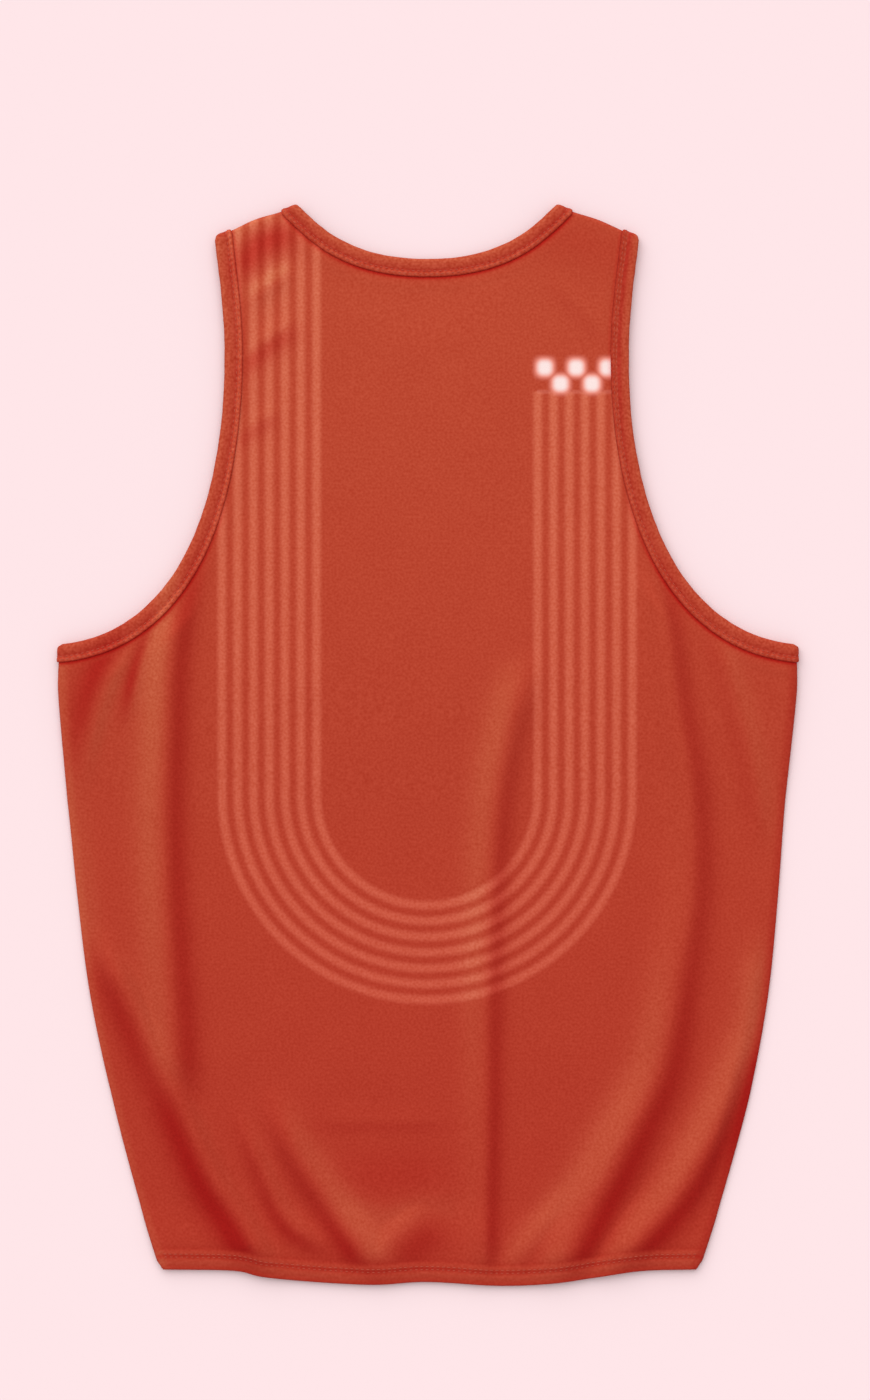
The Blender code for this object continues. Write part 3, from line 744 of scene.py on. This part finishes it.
# ---- bindings
BINDING_FACE = (  # how far in and out: the side that shows, from its stitched edge to the fold
    (0.0115, 0.00072), (0.01136, 0.00098), (0.01095, 0.00124), (0.0104, 0.0014),
    (0.00985, 0.00145), (0.0092, 0.00136), (0.0086, 0.00116), (0.008, 0.00104),
    (0.0072, 0.00112), (0.006, 0.00134), (0.0045, 0.0015), (0.003, 0.0015),
    (0.0019, 0.00134), (0.001, 0.00104), (0.0005, 0.0006), (0.0003, 0.0))
BINDING_LINING = (  # and back along the side that lies inside the garment
    (0.0005, -0.0006), (0.0011, -0.00105), (0.003, -0.0013), (0.0085, -0.0013),
    (0.0115, -0.0011))
UNDER_LIMIT = 0.00125  # how far the face stands out underneath, where it is pressed flat
NEEDLE_ROWS = (4, 7)  # the places in BINDING_FACE that the two rows of stitches follow
INNER_PLACE, MIDDLE_PLACE, OUTER_PLACE = 4, 9, 12  # and three more, from its edge to its fold
LINING_PLACE = len(BINDING_FACE) + 2
BINDING_DEEP = 0.14  # the bindings look a little deeper than the panels
# how much painted highlight a binding has on its ridge, painted shade in its groove and painted highlight
# towards its fold, and the strap's change
Trim = namedtuple("Trim", "ridge groove fold strap")  # a binding's lines, and its change up the strap
NECK_TRIM = Trim(0.3, 0.75, 0.65, 0.0)
LEFT_TRIM = Trim(0.95, 0.5, 0.55, 0.0)
RIGHT_TRIM = Trim(0.25, 0.5, 0.45, 1.0)
# where a binding's painted highlights on ridge and fold and its painted shade in the groove and at the
# stitched edge lie
RIDGE_AT = (0.0101, 0.0013)
GROOVE_AT = (0.0077, 0.0013)
STITCHED_AT = (0.0106, 0.0114)
PALE_AT = (0.005, 0.0012)
STRAP_RIDGE = 0.7
STITCHED_EDGE_SHADE = 0.8
STRAP_GROOVE = 0.45
STRAP_OUT = 0.0012
EDGE_WOBBLE = 0.00018
WOBBLE_FINE, WOBBLE_SEED = 160.0, (2.3, 5.1)
RING_FINE, RING_SEED = 45.0, (7.7, 1.9)
WOBBLE_DEPTH = (0.004, 0.0)
NOSE_ROUND = 0.0009  # how far the binding's fold draws in at the corners of the garment
NOSE_REACH = 0.0065


def binding_section(side):
    profile = np.array(BINDING_FACE + BINDING_LINING)
    out = profile[:, 1] if side > 0 else np.minimum(profile[:, 1], UNDER_LIMIT)
    return profile[:, 0], out


def flat_section(station, layer):
    """The binding's section where it lies along a panel's edge."""
    depth, out = binding_section(layer.side)
    plan = station.edge + station.inward * depth[:, None]
    return np.column_stack((plan, layer.height(plan) + layer.side * out))


def lean_of(station, beside, way_out):
    """How far the edge runs along the fold line for each unit that it runs out past it."""
    run = unit(station.edge - beside.edge)
    return np.dot(run, unit(station.inward)) / np.dot(run, way_out)


def fold_sections(upper, upper_beside, lower, lower_beside):
    """The binding's sections from the back to the front, over the fold that both stations share."""
    line = unit(upper.inward)
    way_out = np.array((-line[1], line[0]))
    if np.dot(way_out, upper.edge) < 0:
        way_out = -way_out
    leans = (lean_of(upper, upper_beside, way_out), lean_of(lower, lower_beside, way_out))
    for turn in BINDING_TURNS:
        share = turn / 180.0
        depth, above = binding_section(1.0)
        out = above * (1.0 - share) + binding_section(-1.0)[1] * share
        way = upper.inward * (1.0 - share) + lower.inward * share
        middle, radius = fold_middle(upper.edge + way * depth[:, None])
        angle = math.radians(turn)
        reach = (radius + out) * math.sin(angle)
        lean = leans[0] * (1.0 - share) + leans[1] * share
        drawn = (lean * reach + NOSE_ROUND * math.sin(angle)) * ease(NOSE_REACH, 0.0, depth)
        plan = upper.edge + way * depth[:, None] + line * drawn[:, None] + way_out * reach[:, None]
        yield np.column_stack((plan, middle + (radius + out) * math.cos(angle)))


def binding(name, upper, lower, material, trim):
    """One closed ring: along the back, over a fold, along the front, over the other fold."""
    sections = [flat_section(s, BACK) for s in upper]
    sections.extend(fold_sections(upper[-1], upper[-2], lower[-1], lower[-2]))
    sections.extend(flat_section(s, FRONT) for s in reversed(lower))
    sections.extend(list(fold_sections(upper[0], upper[1], lower[0], lower[1]))[::-1])
    grid = np.array(sections)
    count, wide = grid.shape[:2]
    closed = np.vstack((grid[:, MIDDLE_PLACE], grid[:1, MIDDLE_PLACE]))
    run = lengths(closed)[:-1]
    depth = binding_section(1.0)[0]
    wobble = uneven(run[:, None] * WOBBLE_FINE, WOBBLE_SEED) + uneven(run[:, None] * RING_FINE, RING_SEED)
    inward = unit_rows(grid[:, INNER_PLACE, :2] - grid[:, OUTER_PLACE, :2])
    moved = EDGE_WOBBLE * wobble[:, None] * ease(*WOBBLE_DEPTH, depth)
    grid[:, :, :2] += inward[:, None] * moved[..., None]
    faces = []
    for k in range(count):
        here, there = k * wide, (k + 1) % count * wide
        faces.extend(strip(range(here, here + wide), range(there, there + wide)))
    along = np.repeat(run, wide)
    inner = np.tile(depth, count)
    points = grid.reshape(-1, 3)
    strap = trim.strap * ease(*STRAP, points[:, 1])
    # painted highlight on the ridge, fainter up the right strap, then painted shade and highlight of the
    # stitches, fold and crossing creases
    ridge = (trim.ridge - STRAP_RIDGE * strap) * hump(inner, *RIDGE_AT)
    tone = limited(binding_tone(inner, trim, strap) + crease_tone(points[:, :2]))
    piece = cloth_object(name, points, faces, material, along=along, depth=inner, tone=tone, ridge=ridge)
    return piece, grid


def binding_tone(depth, trim, strap):
    """Painted shade in the row of stitches beside the ridge and at the stitched edge, and a painted
    highlight towards the fold.
    """
    groove = hump(depth + STRAP_OUT * strap, *GROOVE_AT) * (trim.groove + STRAP_GROOVE * strap)
    inner = STITCHED_EDGE_SHADE * ease(*STITCHED_AT, depth)
    return trim.fold * ease(*PALE_AT, depth) - groove - inner - BINDING_DEEP


# ---- stitches
STITCH_PITCH = 0.0035
STITCH_SHARE = 0.74
THREAD_RADIUS = 0.00024
THREAD_SIDES = 6
THREAD_ROUND = (0.35, 0.85, 1.0, 0.85, 0.35)
THREAD_LIFT = (-0.9, 0.1, 0.4, 0.1, -0.9)
FLOOR_CLEAR = 0.00003
HEM_NEEDLES = (0.0094, 0.0074)  # how far in its two rows of stitches run


def stitch_rows(name, rows, material):
    """Rows of stitches as one mesh.  A row is a path on the cloth with the way out of it."""
    points, faces = [], []
    base = 0
    rings = len(THREAD_ROUND)
    turn = np.linspace(0.0, 2.0 * math.pi, THREAD_SIDES, endpoint=False)
    for path, outward in rows:
        along = lengths(path)
        count = round(along[-1] / STITCH_PITCH)
        marks = np.arange(count)[:, None] + 0.5 + STITCH_SHARE * np.linspace(-0.5, 0.5, rings)
        marks = marks * (along[-1] / count)
        centre, out = (
            np.stack([np.interp(marks, along, line[:, k]) for k in range(3)], axis=-1)
            for line in (path, outward))
        out = unit_rows(out)
        way = unit_rows(centre[:, -1:] - centre[:, :1])
        side = np.cross(np.broadcast_to(way, out.shape), out)
        lift = THREAD_RADIUS * np.array(THREAD_LIFT)[None, :, None]
        radius = THREAD_RADIUS * np.array(THREAD_ROUND)[None, :, None, None]
        circle = np.cos(turn)[:, None] * out[:, :, None] + np.sin(turn)[:, None] * side[:, :, None]
        body = (centre + out * lift)[:, :, None] + circle * radius
        points.append(body.reshape(-1, 3))
        for first in range(base, base + count * rings * THREAD_SIDES, rings * THREAD_SIDES):
            starts = range(first, first + rings * THREAD_SIDES, THREAD_SIDES)
            loops = [list(range(start, start + THREAD_SIDES)) for start in starts]
            for low, high in zip(loops, loops[1:]):
                faces.extend(strip(low + low[:1], high + high[:1]))
            faces.append(loops[0][::-1])
            faces.append(loops[-1])
        base += count * rings * THREAD_SIDES
    points = np.vstack(points)
    points[:, 2] = np.maximum(points[:, 2], FLOOR_CLEAR)
    return cloth_object(name, points, faces, material, 0.0)


def binding_stitches(name, grid, material):
    """Two rows round a binding, on the face that shows."""
    rows = []
    for place in NEEDLE_ROWS:
        path = grid[:, place]
        way = np.roll(path, -1, axis=0) - np.roll(path, 1, axis=0)
        over = grid[:, place + 1] - grid[:, place - 1]
        out = unit_rows(np.cross(way, over))
        middle = grid[:, LINING_PLACE]
        out = out * np.sign((out * (path - middle)).sum(1).mean() or 1.0)
        path = path + out * (SHELL / 2)
        rows.append((np.vstack((path, path[:1])), np.vstack((out, out[:1]))))
    return stitch_rows(name, rows, material)


def hem_stitches(name, layer, material):
    rows = []
    run = hem_stations(layer)[1:-1]
    for depth in HEM_NEEDLES:
        plan = inside(run, depth)
        height = layer.height(plan) + panel_relief(plan, layer) + layer.side * SHELL / 2
        out = np.tile((0.0, 0.0, layer.side), (len(plan), 1))
        rows.append((np.column_stack((plan, height)), out))
    return stitch_rows(name, rows, material)


# ---- materials

class Graph:
    """Adds shader nodes to a material or a world."""

    def __init__(self, owner, shader="Principled BSDF"):
        owner.use_nodes = True
        self.owner = owner
        self.tree = owner.node_tree
        self.shader = self.tree.nodes[shader]

    def put(self, socket, value):
        if isinstance(value, bpy.types.NodeSocket):
            self.tree.links.new(value, socket)
        else:
            socket.default_value = value

    def finish(self, inputs):
        """Links the shader's own sockets or sets their values, and gives the graph's owner."""
        for name, value in inputs.items():
            self.put(self.shader.inputs[name], value)
        return self.owner

    def node(self, kind, inputs=(), output=0, **settings):
        made = self.tree.nodes.new("ShaderNode" + kind)
        for key, value in settings.items():
            setattr(made, key, value)
        for key, value in dict(inputs).items():
            self.put(made.inputs[key], value)
        return made.outputs[output]

    def math(self, operation, *values):
        return self.node("Math", enumerate(values), operation=operation)

    def plus(self, one, other):
        return self.math("ADD", one, other)

    def less(self, one, other):
        return self.math("SUBTRACT", one, other)

    def times(self, one, other):
        return self.math("MULTIPLY", one, other)

    def apart(self, one, other):
        return self.math("ABSOLUTE", self.less(one, other))

    def smooth(self, value, low, high, start=0.0, end=1.0):
        return self.node("MapRange", {0: value, 1: low, 2: high, 3: start, 4: end},
                         interpolation_type="SMOOTHSTEP")

    def place(self):
        return self.node("TexCoord", output="Object")

    def axis(self, place, name):
        return self.node("SeparateXYZ", {0: place}, name)

    def attribute(self, name):
        return self.node("Attribute", output="Fac", attribute_name=name)

    def noise(self, vector, scale, detail=2.0, roughness=0.5):
        return self.node("TexNoise", {"Vector": vector, "Scale": scale, "Detail": detail,
                                      "Roughness": roughness})

    def tinted(self, colour, amount, change):
        """The colour times 1 + amount * change, channel by channel."""
        factor = self.node("VectorMath", {0: amount, 1: change, 2: (1.0, 1.0, 1.0)},
                           operation="MULTIPLY_ADD")
        return self.node("VectorMath", {0: colour, 1: factor}, operation="MULTIPLY")

    def speckled(self, colour, grain, change):
        return self.tinted(colour, self.less(grain, 0.5), change)

    def mixed(self, amount, one, other):
        return self.node("Mix", {0: amount, 6: one, 7: other}, 2, data_type="RGBA")

    def bump(self, height, strength, distance, normal=None):
        inputs = {"Height": height, "Strength": strength, "Distance": distance}
        if normal is not None:
            inputs["Normal"] = normal
        return self.node("Bump", inputs)


WALE = 0.00115  # width of one column of knit loops
COURSE = 0.00092  # height of one loop
SHAKE_SCALE = 260.0
COLUMN_SHAKE = 0.7
ROW_LEAN = 1.1
ROW_SHAKE = 0.9
GRAIN = 640.0
PATCHES = 34.0
STREAKS = (70.0, 700.0)  # along a binding and across it
STREAK_DETAIL = (3.0, 0.6)
STREAK_RELIEF = 0.6
KNIT_BUMP = (0.4, 0.00016)
GRAIN_BUMP = (0.3, 0.00018)
KNIT_ROUGHNESS = (0.86, 0.74)
KNIT_GLOSS = {
    "Sheen Weight": 0.03, "Sheen Roughness": 0.45, "Sheen Tint": (1.0, 0.7, 0.62, 1.0),
    "Specular IOR Level": 0.12}
TOP_Y = 0.289
FOOT_Y = -0.264
# painted shade towards the foot of the garment, where the light falls off
FOOT_PAINTED_SHADE = (-0.115, -0.41, -0.34)  # how much deeper the colour is at FOOT_Y than at TOP_Y
# painted shade and painted highlight: how the knit's colour changes in lees and grooves, and up slopes and
# on folds
PAINTED_SHADE_CHANGE = (-0.135, -0.56, -0.54)
PAINTED_HIGHLIGHT_CHANGE = (0.085, 0.6, 0.56)
# painted shadow beside the bindings, and painted shade and highlight along the hem's rows
SEAM_PAINTED_LIGHT_CHANGE = (0.0, -0.82, -0.81)
# painted highlight on a binding's ridge
RIDGE_HIGHLIGHT_CHANGE = (0.25, 0.65, 0.75)
# painted shade between the stitches and painted highlight on them
STITCH_SHADE_AND_HIGHLIGHT = (0.06, 0.17, 0.17)  # from stitch to stitch along a binding
BEAT_DEPTH = 0.0091
BEAT_REACH = (0.0006, 0.0026)
BINDING_GRAIN = 1.8
GRAIN_CHANGE = (0.24, 0.66, 0.9)
PATCH_CHANGE = (0.05, 0.16, 0.16)
STREAK_CHANGE = (0.16, 0.55, 0.55)
THREAD_GRAIN = 1500.0
THREAD_CHANGE = (0.25, 0.4, 0.4)
THREAD_BUMP = (0.5, 0.0001)
THREAD_ROUGHNESS = (0.2, 0.8, 0.62, 0.5)

# Print: seven soft parallel lines that run down one side, round a half circle and up the other
LINES = 7
LINE_CENTRE = (-0.0006, -0.0327)
LINE_INNER = 0.0718
LINE_PITCH = 0.01024
LINE_CORE = 0.0006
LINE_REACH = 0.0046
LINE_CHANGE = (0.285, 1.14, 1.55)
LINE_END = (-0.0008, 0.0012)  # about the foot of the flag
FLAG_LEFT = 0.0707
FLAG_FOOT = 0.22895
FLAG_SQUARE = 0.0102
FLAG_ROW = 0.0105
FLAG_COLUMNS = 5
FLAG_SOFT = (-0.0042, 0.005)  # from inside a square's edge to outside it
FLAG_RIM = (0.0005, 0.0024)  # a faint line of ink along its foot
FLAG_RIM_COVER = 0.17
BLUSH_RISE = (0.0, 0.6)  # the ink spreads past its squares as a blush
WHITE_RISE = (0.35, 1.0)


def albedo(colour):
    """The colour that shows as the given one under all the light."""
    return tuple(channel / LIGHT_TOTAL for channel in colour)


def knit_relief(graph, place, along, across_):
    """Columns of V-shaped loops, each leaning to the middle of its column."""
    shake = graph.noise(place, SHAKE_SCALE, 1.0)
    column = graph.plus(graph.math("DIVIDE", across_, WALE), graph.times(shake, COLUMN_SHAKE))
    lean = graph.math("PINGPONG", column, 0.5)
    row = graph.plus(graph.math("DIVIDE", along, COURSE), graph.times(lean, ROW_LEAN))
    row = graph.plus(row, graph.times(shake, ROW_SHAKE))
    loop = graph.math("SINE", graph.times(row, 2.0 * math.pi))
    return graph.times(graph.math("MULTIPLY_ADD", loop, 0.5, 0.5), lean)


def print_lines(graph, x, y):
    """1 on the middle of each printed line and 0 between them."""
    dx = graph.less(x, LINE_CENTRE[0])
    below = graph.math("MINIMUM", graph.less(y, LINE_CENTRE[1]), 0.0)
    radius = graph.math("SQRT", graph.plus(graph.times(dx, dx), graph.times(below, below)))
    place = graph.math("DIVIDE", graph.less(radius, LINE_INNER), LINE_PITCH)
    which = graph.math("MINIMUM", graph.math("MAXIMUM", graph.math("ROUND", place), 0.0), LINES - 1.0)
    line = graph.smooth(graph.times(graph.apart(place, which), LINE_PITCH), LINE_CORE, LINE_REACH, 1.0, 0.0)
    right = graph.math("GREATER_THAN", dx, 0.0)
    over = graph.smooth(y, FLAG_FOOT + LINE_END[0], FLAG_FOOT + LINE_END[1])
    return graph.times(line, graph.less(1.0, graph.times(right, over)))


def flag_cover(graph, x, y):
    """How much white ink there is: two rows of soft squares, the upper one from its first column."""
    off_middle = graph.apart(x, FLAG_LEFT + FLAG_SQUARE * FLAG_COLUMNS / 2)
    rows = []
    for row, first in ((1, 0), (0, 1)):
        centre = FLAG_LEFT + FLAG_SQUARE * (first + 0.5)
        off_x = graph.math("PINGPONG", graph.less(x, centre), FLAG_SQUARE)
        off_y = graph.apart(y, FLAG_FOOT + FLAG_ROW * (row + 0.5))
        cover = graph.times(*(
            graph.smooth(off, size / 2 + FLAG_SOFT[0], size / 2 + FLAG_SOFT[1], 1.0, 0.0)
            for off, size in ((off_x, FLAG_SQUARE), (off_y, FLAG_ROW))))
        reach = FLAG_SQUARE * (FLAG_COLUMNS / 2 - first) + FLAG_SOFT[1]
        rows.append(graph.times(cover, graph.math("LESS_THAN", off_middle, reach)))
    foot = graph.smooth(graph.apart(y, FLAG_FOOT), *FLAG_RIM, FLAG_RIM_COVER, 0.0)
    foot = graph.times(foot, graph.math("LESS_THAN", off_middle, FLAG_SQUARE * FLAG_COLUMNS / 2))
    return graph.math("MAXIMUM", foot, graph.math("MAXIMUM", *rows))


def finish_cloth(graph, colour, relief, grain):
    normal = graph.bump(grain, *GRAIN_BUMP, graph.bump(relief, *KNIT_BUMP))
    rough = graph.smooth(relief, 0.0, 1.0, *KNIT_ROUGHNESS)
    return graph.finish({"Base Color": colour, "Normal": normal, "Roughness": rough, **KNIT_GLOSS})


def knit_colour(graph, y):
    """The yarn's colour with painted shade: a little deeper towards the foot of the garment, where the light
    falls off.
    """
    down = graph.node("MapRange", {0: y, 1: TOP_Y, 2: FOOT_Y})
    return graph.tinted(albedo(KNIT), down, FOOT_PAINTED_SHADE)


def toned(graph, colour):
    """The colour with its painted shade and painted highlight: deeper in the creases' lees, paler up their
    slopes.
    """
    tone = graph.attribute("tone")
    colour = graph.tinted(colour, graph.math("MAXIMUM", tone, 0.0), PAINTED_HIGHLIGHT_CHANGE)
    return graph.tinted(colour, graph.math("MAXIMUM", graph.times(tone, -1.0), 0.0), PAINTED_SHADE_CHANGE)


def panel_knit(name, printed):
    graph = Graph(bpy.data.materials.new(name))
    place = graph.place()
    x, y = graph.axis(place, "X"), graph.axis(place, "Y")
    colour = graph.speckled(knit_colour(graph, y), graph.noise(place, PATCHES), PATCH_CHANGE)
    grain = graph.noise(place, GRAIN, 0.0)
    colour = graph.speckled(colour, grain, GRAIN_CHANGE)
    if printed:
        colour = graph.tinted(colour, print_lines(graph, x, y), LINE_CHANGE)
        cover = flag_cover(graph, x, y)
        for ink, rise in ((BLUSH, BLUSH_RISE), (WHITE, WHITE_RISE)):
            colour = graph.mixed(graph.smooth(cover, *rise), colour, (*albedo(ink), 1.0))
    # painted shade and highlight of creases and sides, then painted shadow by the bindings and painted shade
    # and highlight in the hem's rows
    colour = graph.tinted(toned(graph, colour), graph.attribute("seam"), SEAM_PAINTED_LIGHT_CHANGE)
    return finish_cloth(graph, colour, knit_relief(graph, place, y, x), grain)


def binding_knit(name):
    """The same knit along the strip, with the streaks that its stretch leaves, and painted shade and
    highlight along its ridge, grooves and stitches.
    """
    graph = Graph(bpy.data.materials.new(name))
    place = graph.place()
    along, depth = graph.attribute("along"), graph.attribute("depth")
    flow = graph.node("CombineXYZ", {0: graph.times(along, STREAKS[0]), 1: graph.times(depth, STREAKS[1])})
    streaks = graph.noise(flow, 1.0, *STREAK_DETAIL)
    colour = graph.speckled(knit_colour(graph, graph.axis(place, "Y")), streaks, STREAK_CHANGE)
    # painted highlight on the binding's ridge
    colour = graph.tinted(toned(graph, colour), graph.attribute("ridge"), RIDGE_HIGHLIGHT_CHANGE)
    # painted shade between the stitches and painted highlight on them, along the rows beside the ridge
    beat = graph.math("SINE", graph.times(along, 2.0 * math.pi / STITCH_PITCH))
    beside = graph.smooth(graph.apart(depth, BEAT_DEPTH), *BEAT_REACH, 1.0, 0.0)
    colour = graph.tinted(colour, graph.times(beat, beside), STITCH_SHADE_AND_HIGHLIGHT)
    grain = graph.noise(place, GRAIN, 0.0)
    grain = graph.math("MULTIPLY_ADD", grain, BINDING_GRAIN, 0.5 - 0.5 * BINDING_GRAIN)
    relief = knit_relief(graph, place, along, depth)
    relief = graph.math("MULTIPLY_ADD", streaks, STREAK_RELIEF, relief)
    return finish_cloth(graph, graph.speckled(colour, grain, GRAIN_CHANGE), relief, grain)


def thread(name):
    graph = Graph(bpy.data.materials.new(name))
    grain = graph.noise(graph.place(), THREAD_GRAIN, 1.0)
    return graph.finish({
        "Base Color": graph.speckled(albedo(THREAD), grain, THREAD_CHANGE),
        "Normal": graph.bump(grain, *THREAD_BUMP),
        "Roughness": graph.smooth(grain, *THREAD_ROUGHNESS),
        "Specular IOR Level": 0.4})


# ---- surroundings

def floor():
    mesh = bpy.data.meshes.new("floor")
    corners = [(x * FLOOR_HALF, y * FLOOR_HALF, 0.0) for x, y in ((-1, -1), (1, -1), (1, 1), (-1, 1))]
    mesh.from_pydata(corners, [], [(0, 1, 2, 3)])
    paint = {"Base Color": (*albedo(FLOOR_COLOUR), 1.0), "Roughness": 1.0, "Specular IOR Level": 0.0}
    mesh.materials.append(Graph(bpy.data.materials.new("floor_paint")).finish(paint))
    add_object("floor", mesh)


def surroundings():
    """Even light from all round; the camera itself sees the floor's colour past the floor."""
    world = bpy.data.worlds.new("studio")
    graph = Graph(world, "Background")
    graph.finish({"Color": (1.0, 1.0, 1.0, 1.0), "Strength": LIGHT_TOTAL * (1.0 - LIGHT_SHARE)})
    seen = graph.node("Background", {"Color": (*FLOOR_COLOUR, 1.0), "Strength": 1.0})
    to_camera = graph.node("LightPath", output="Is Camera Ray")
    mix = graph.node("MixShader", {0: to_camera, 1: graph.shader.outputs[0], 2: seen})
    graph.put(graph.tree.nodes["World Output"].inputs["Surface"], mix)
    bpy.context.scene.world = world
    lamp = bpy.data.lights.new("window", "SUN")
    lamp.energy = LIGHT_TOTAL * LIGHT_SHARE * math.pi / math.sin(LIGHT_ELEVATION)
    lamp.angle = LIGHT_SPREAD
    item = add_object("window", lamp)
    flat = math.cos(LIGHT_ELEVATION)
    side, up = unit(LIGHT_FROM) * flat
    towards = Vector((side, up, math.sin(LIGHT_ELEVATION)))
    item.rotation_euler = towards.to_track_quat("Z", "Y").to_euler()
    item.location = towards


def camera():
    data = bpy.data.cameras.new("camera")
    data.lens = LENS
    data.sensor_width = SENSOR
    data.sensor_fit = "AUTO"
    data.clip_start, data.clip_end = CLIP
    item = add_object("camera", data)
    item.location = (*VIEW_CENTRE, VIEW_HEIGHT * LENS / SENSOR + BACK_FLAT)
    bpy.context.scene.camera = item


# ---- the garment
Cut = namedtuple("Cut", "width length area")
NECK_CUT = Cut(0.0245, 0.545, 0.01335)
ARM_CUT = Cut(0.0245, 0.655, 0.01605)


def garment():
    sewing = thread("sewing_thread")
    strip_knit = binding_knit("binding_knit_loops")
    front = panel("front_cloth", FRONT, panel_knit("front_knit_loops", False))
    back = panel("back_cloth", BACK, panel_knit("back_knit_loops", True))
    for name, layer, cloth in (("front", FRONT, front), ("back", BACK, back)):
        row = hem_stitches(name + "_hem_stitches", layer, sewing)
        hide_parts(name + "_panel")
    edges = (
        ("neck_binding", neck_stations, (), NECK_CUT, NECK_TRIM),
        ("armhole_binding_right", arm_stations, (False,), ARM_CUT, RIGHT_TRIM),
        ("armhole_binding_left", arm_stations, (True,), ARM_CUT, LEFT_TRIM),
    )
    for name, run_of, mirror, cut, trim in edges:
        upper, lower = run_of(BACK, *mirror), run_of(FRONT, *mirror)
        piece, grid = binding(name + "_cloth", upper, lower, strip_knit, trim)
        rows = binding_stitches(name + "_stitches", grid, sewing)
        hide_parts(name)


floor()
surroundings()
camera()
garment()
bpy.context.scene.view_settings.view_transform = "Standard"
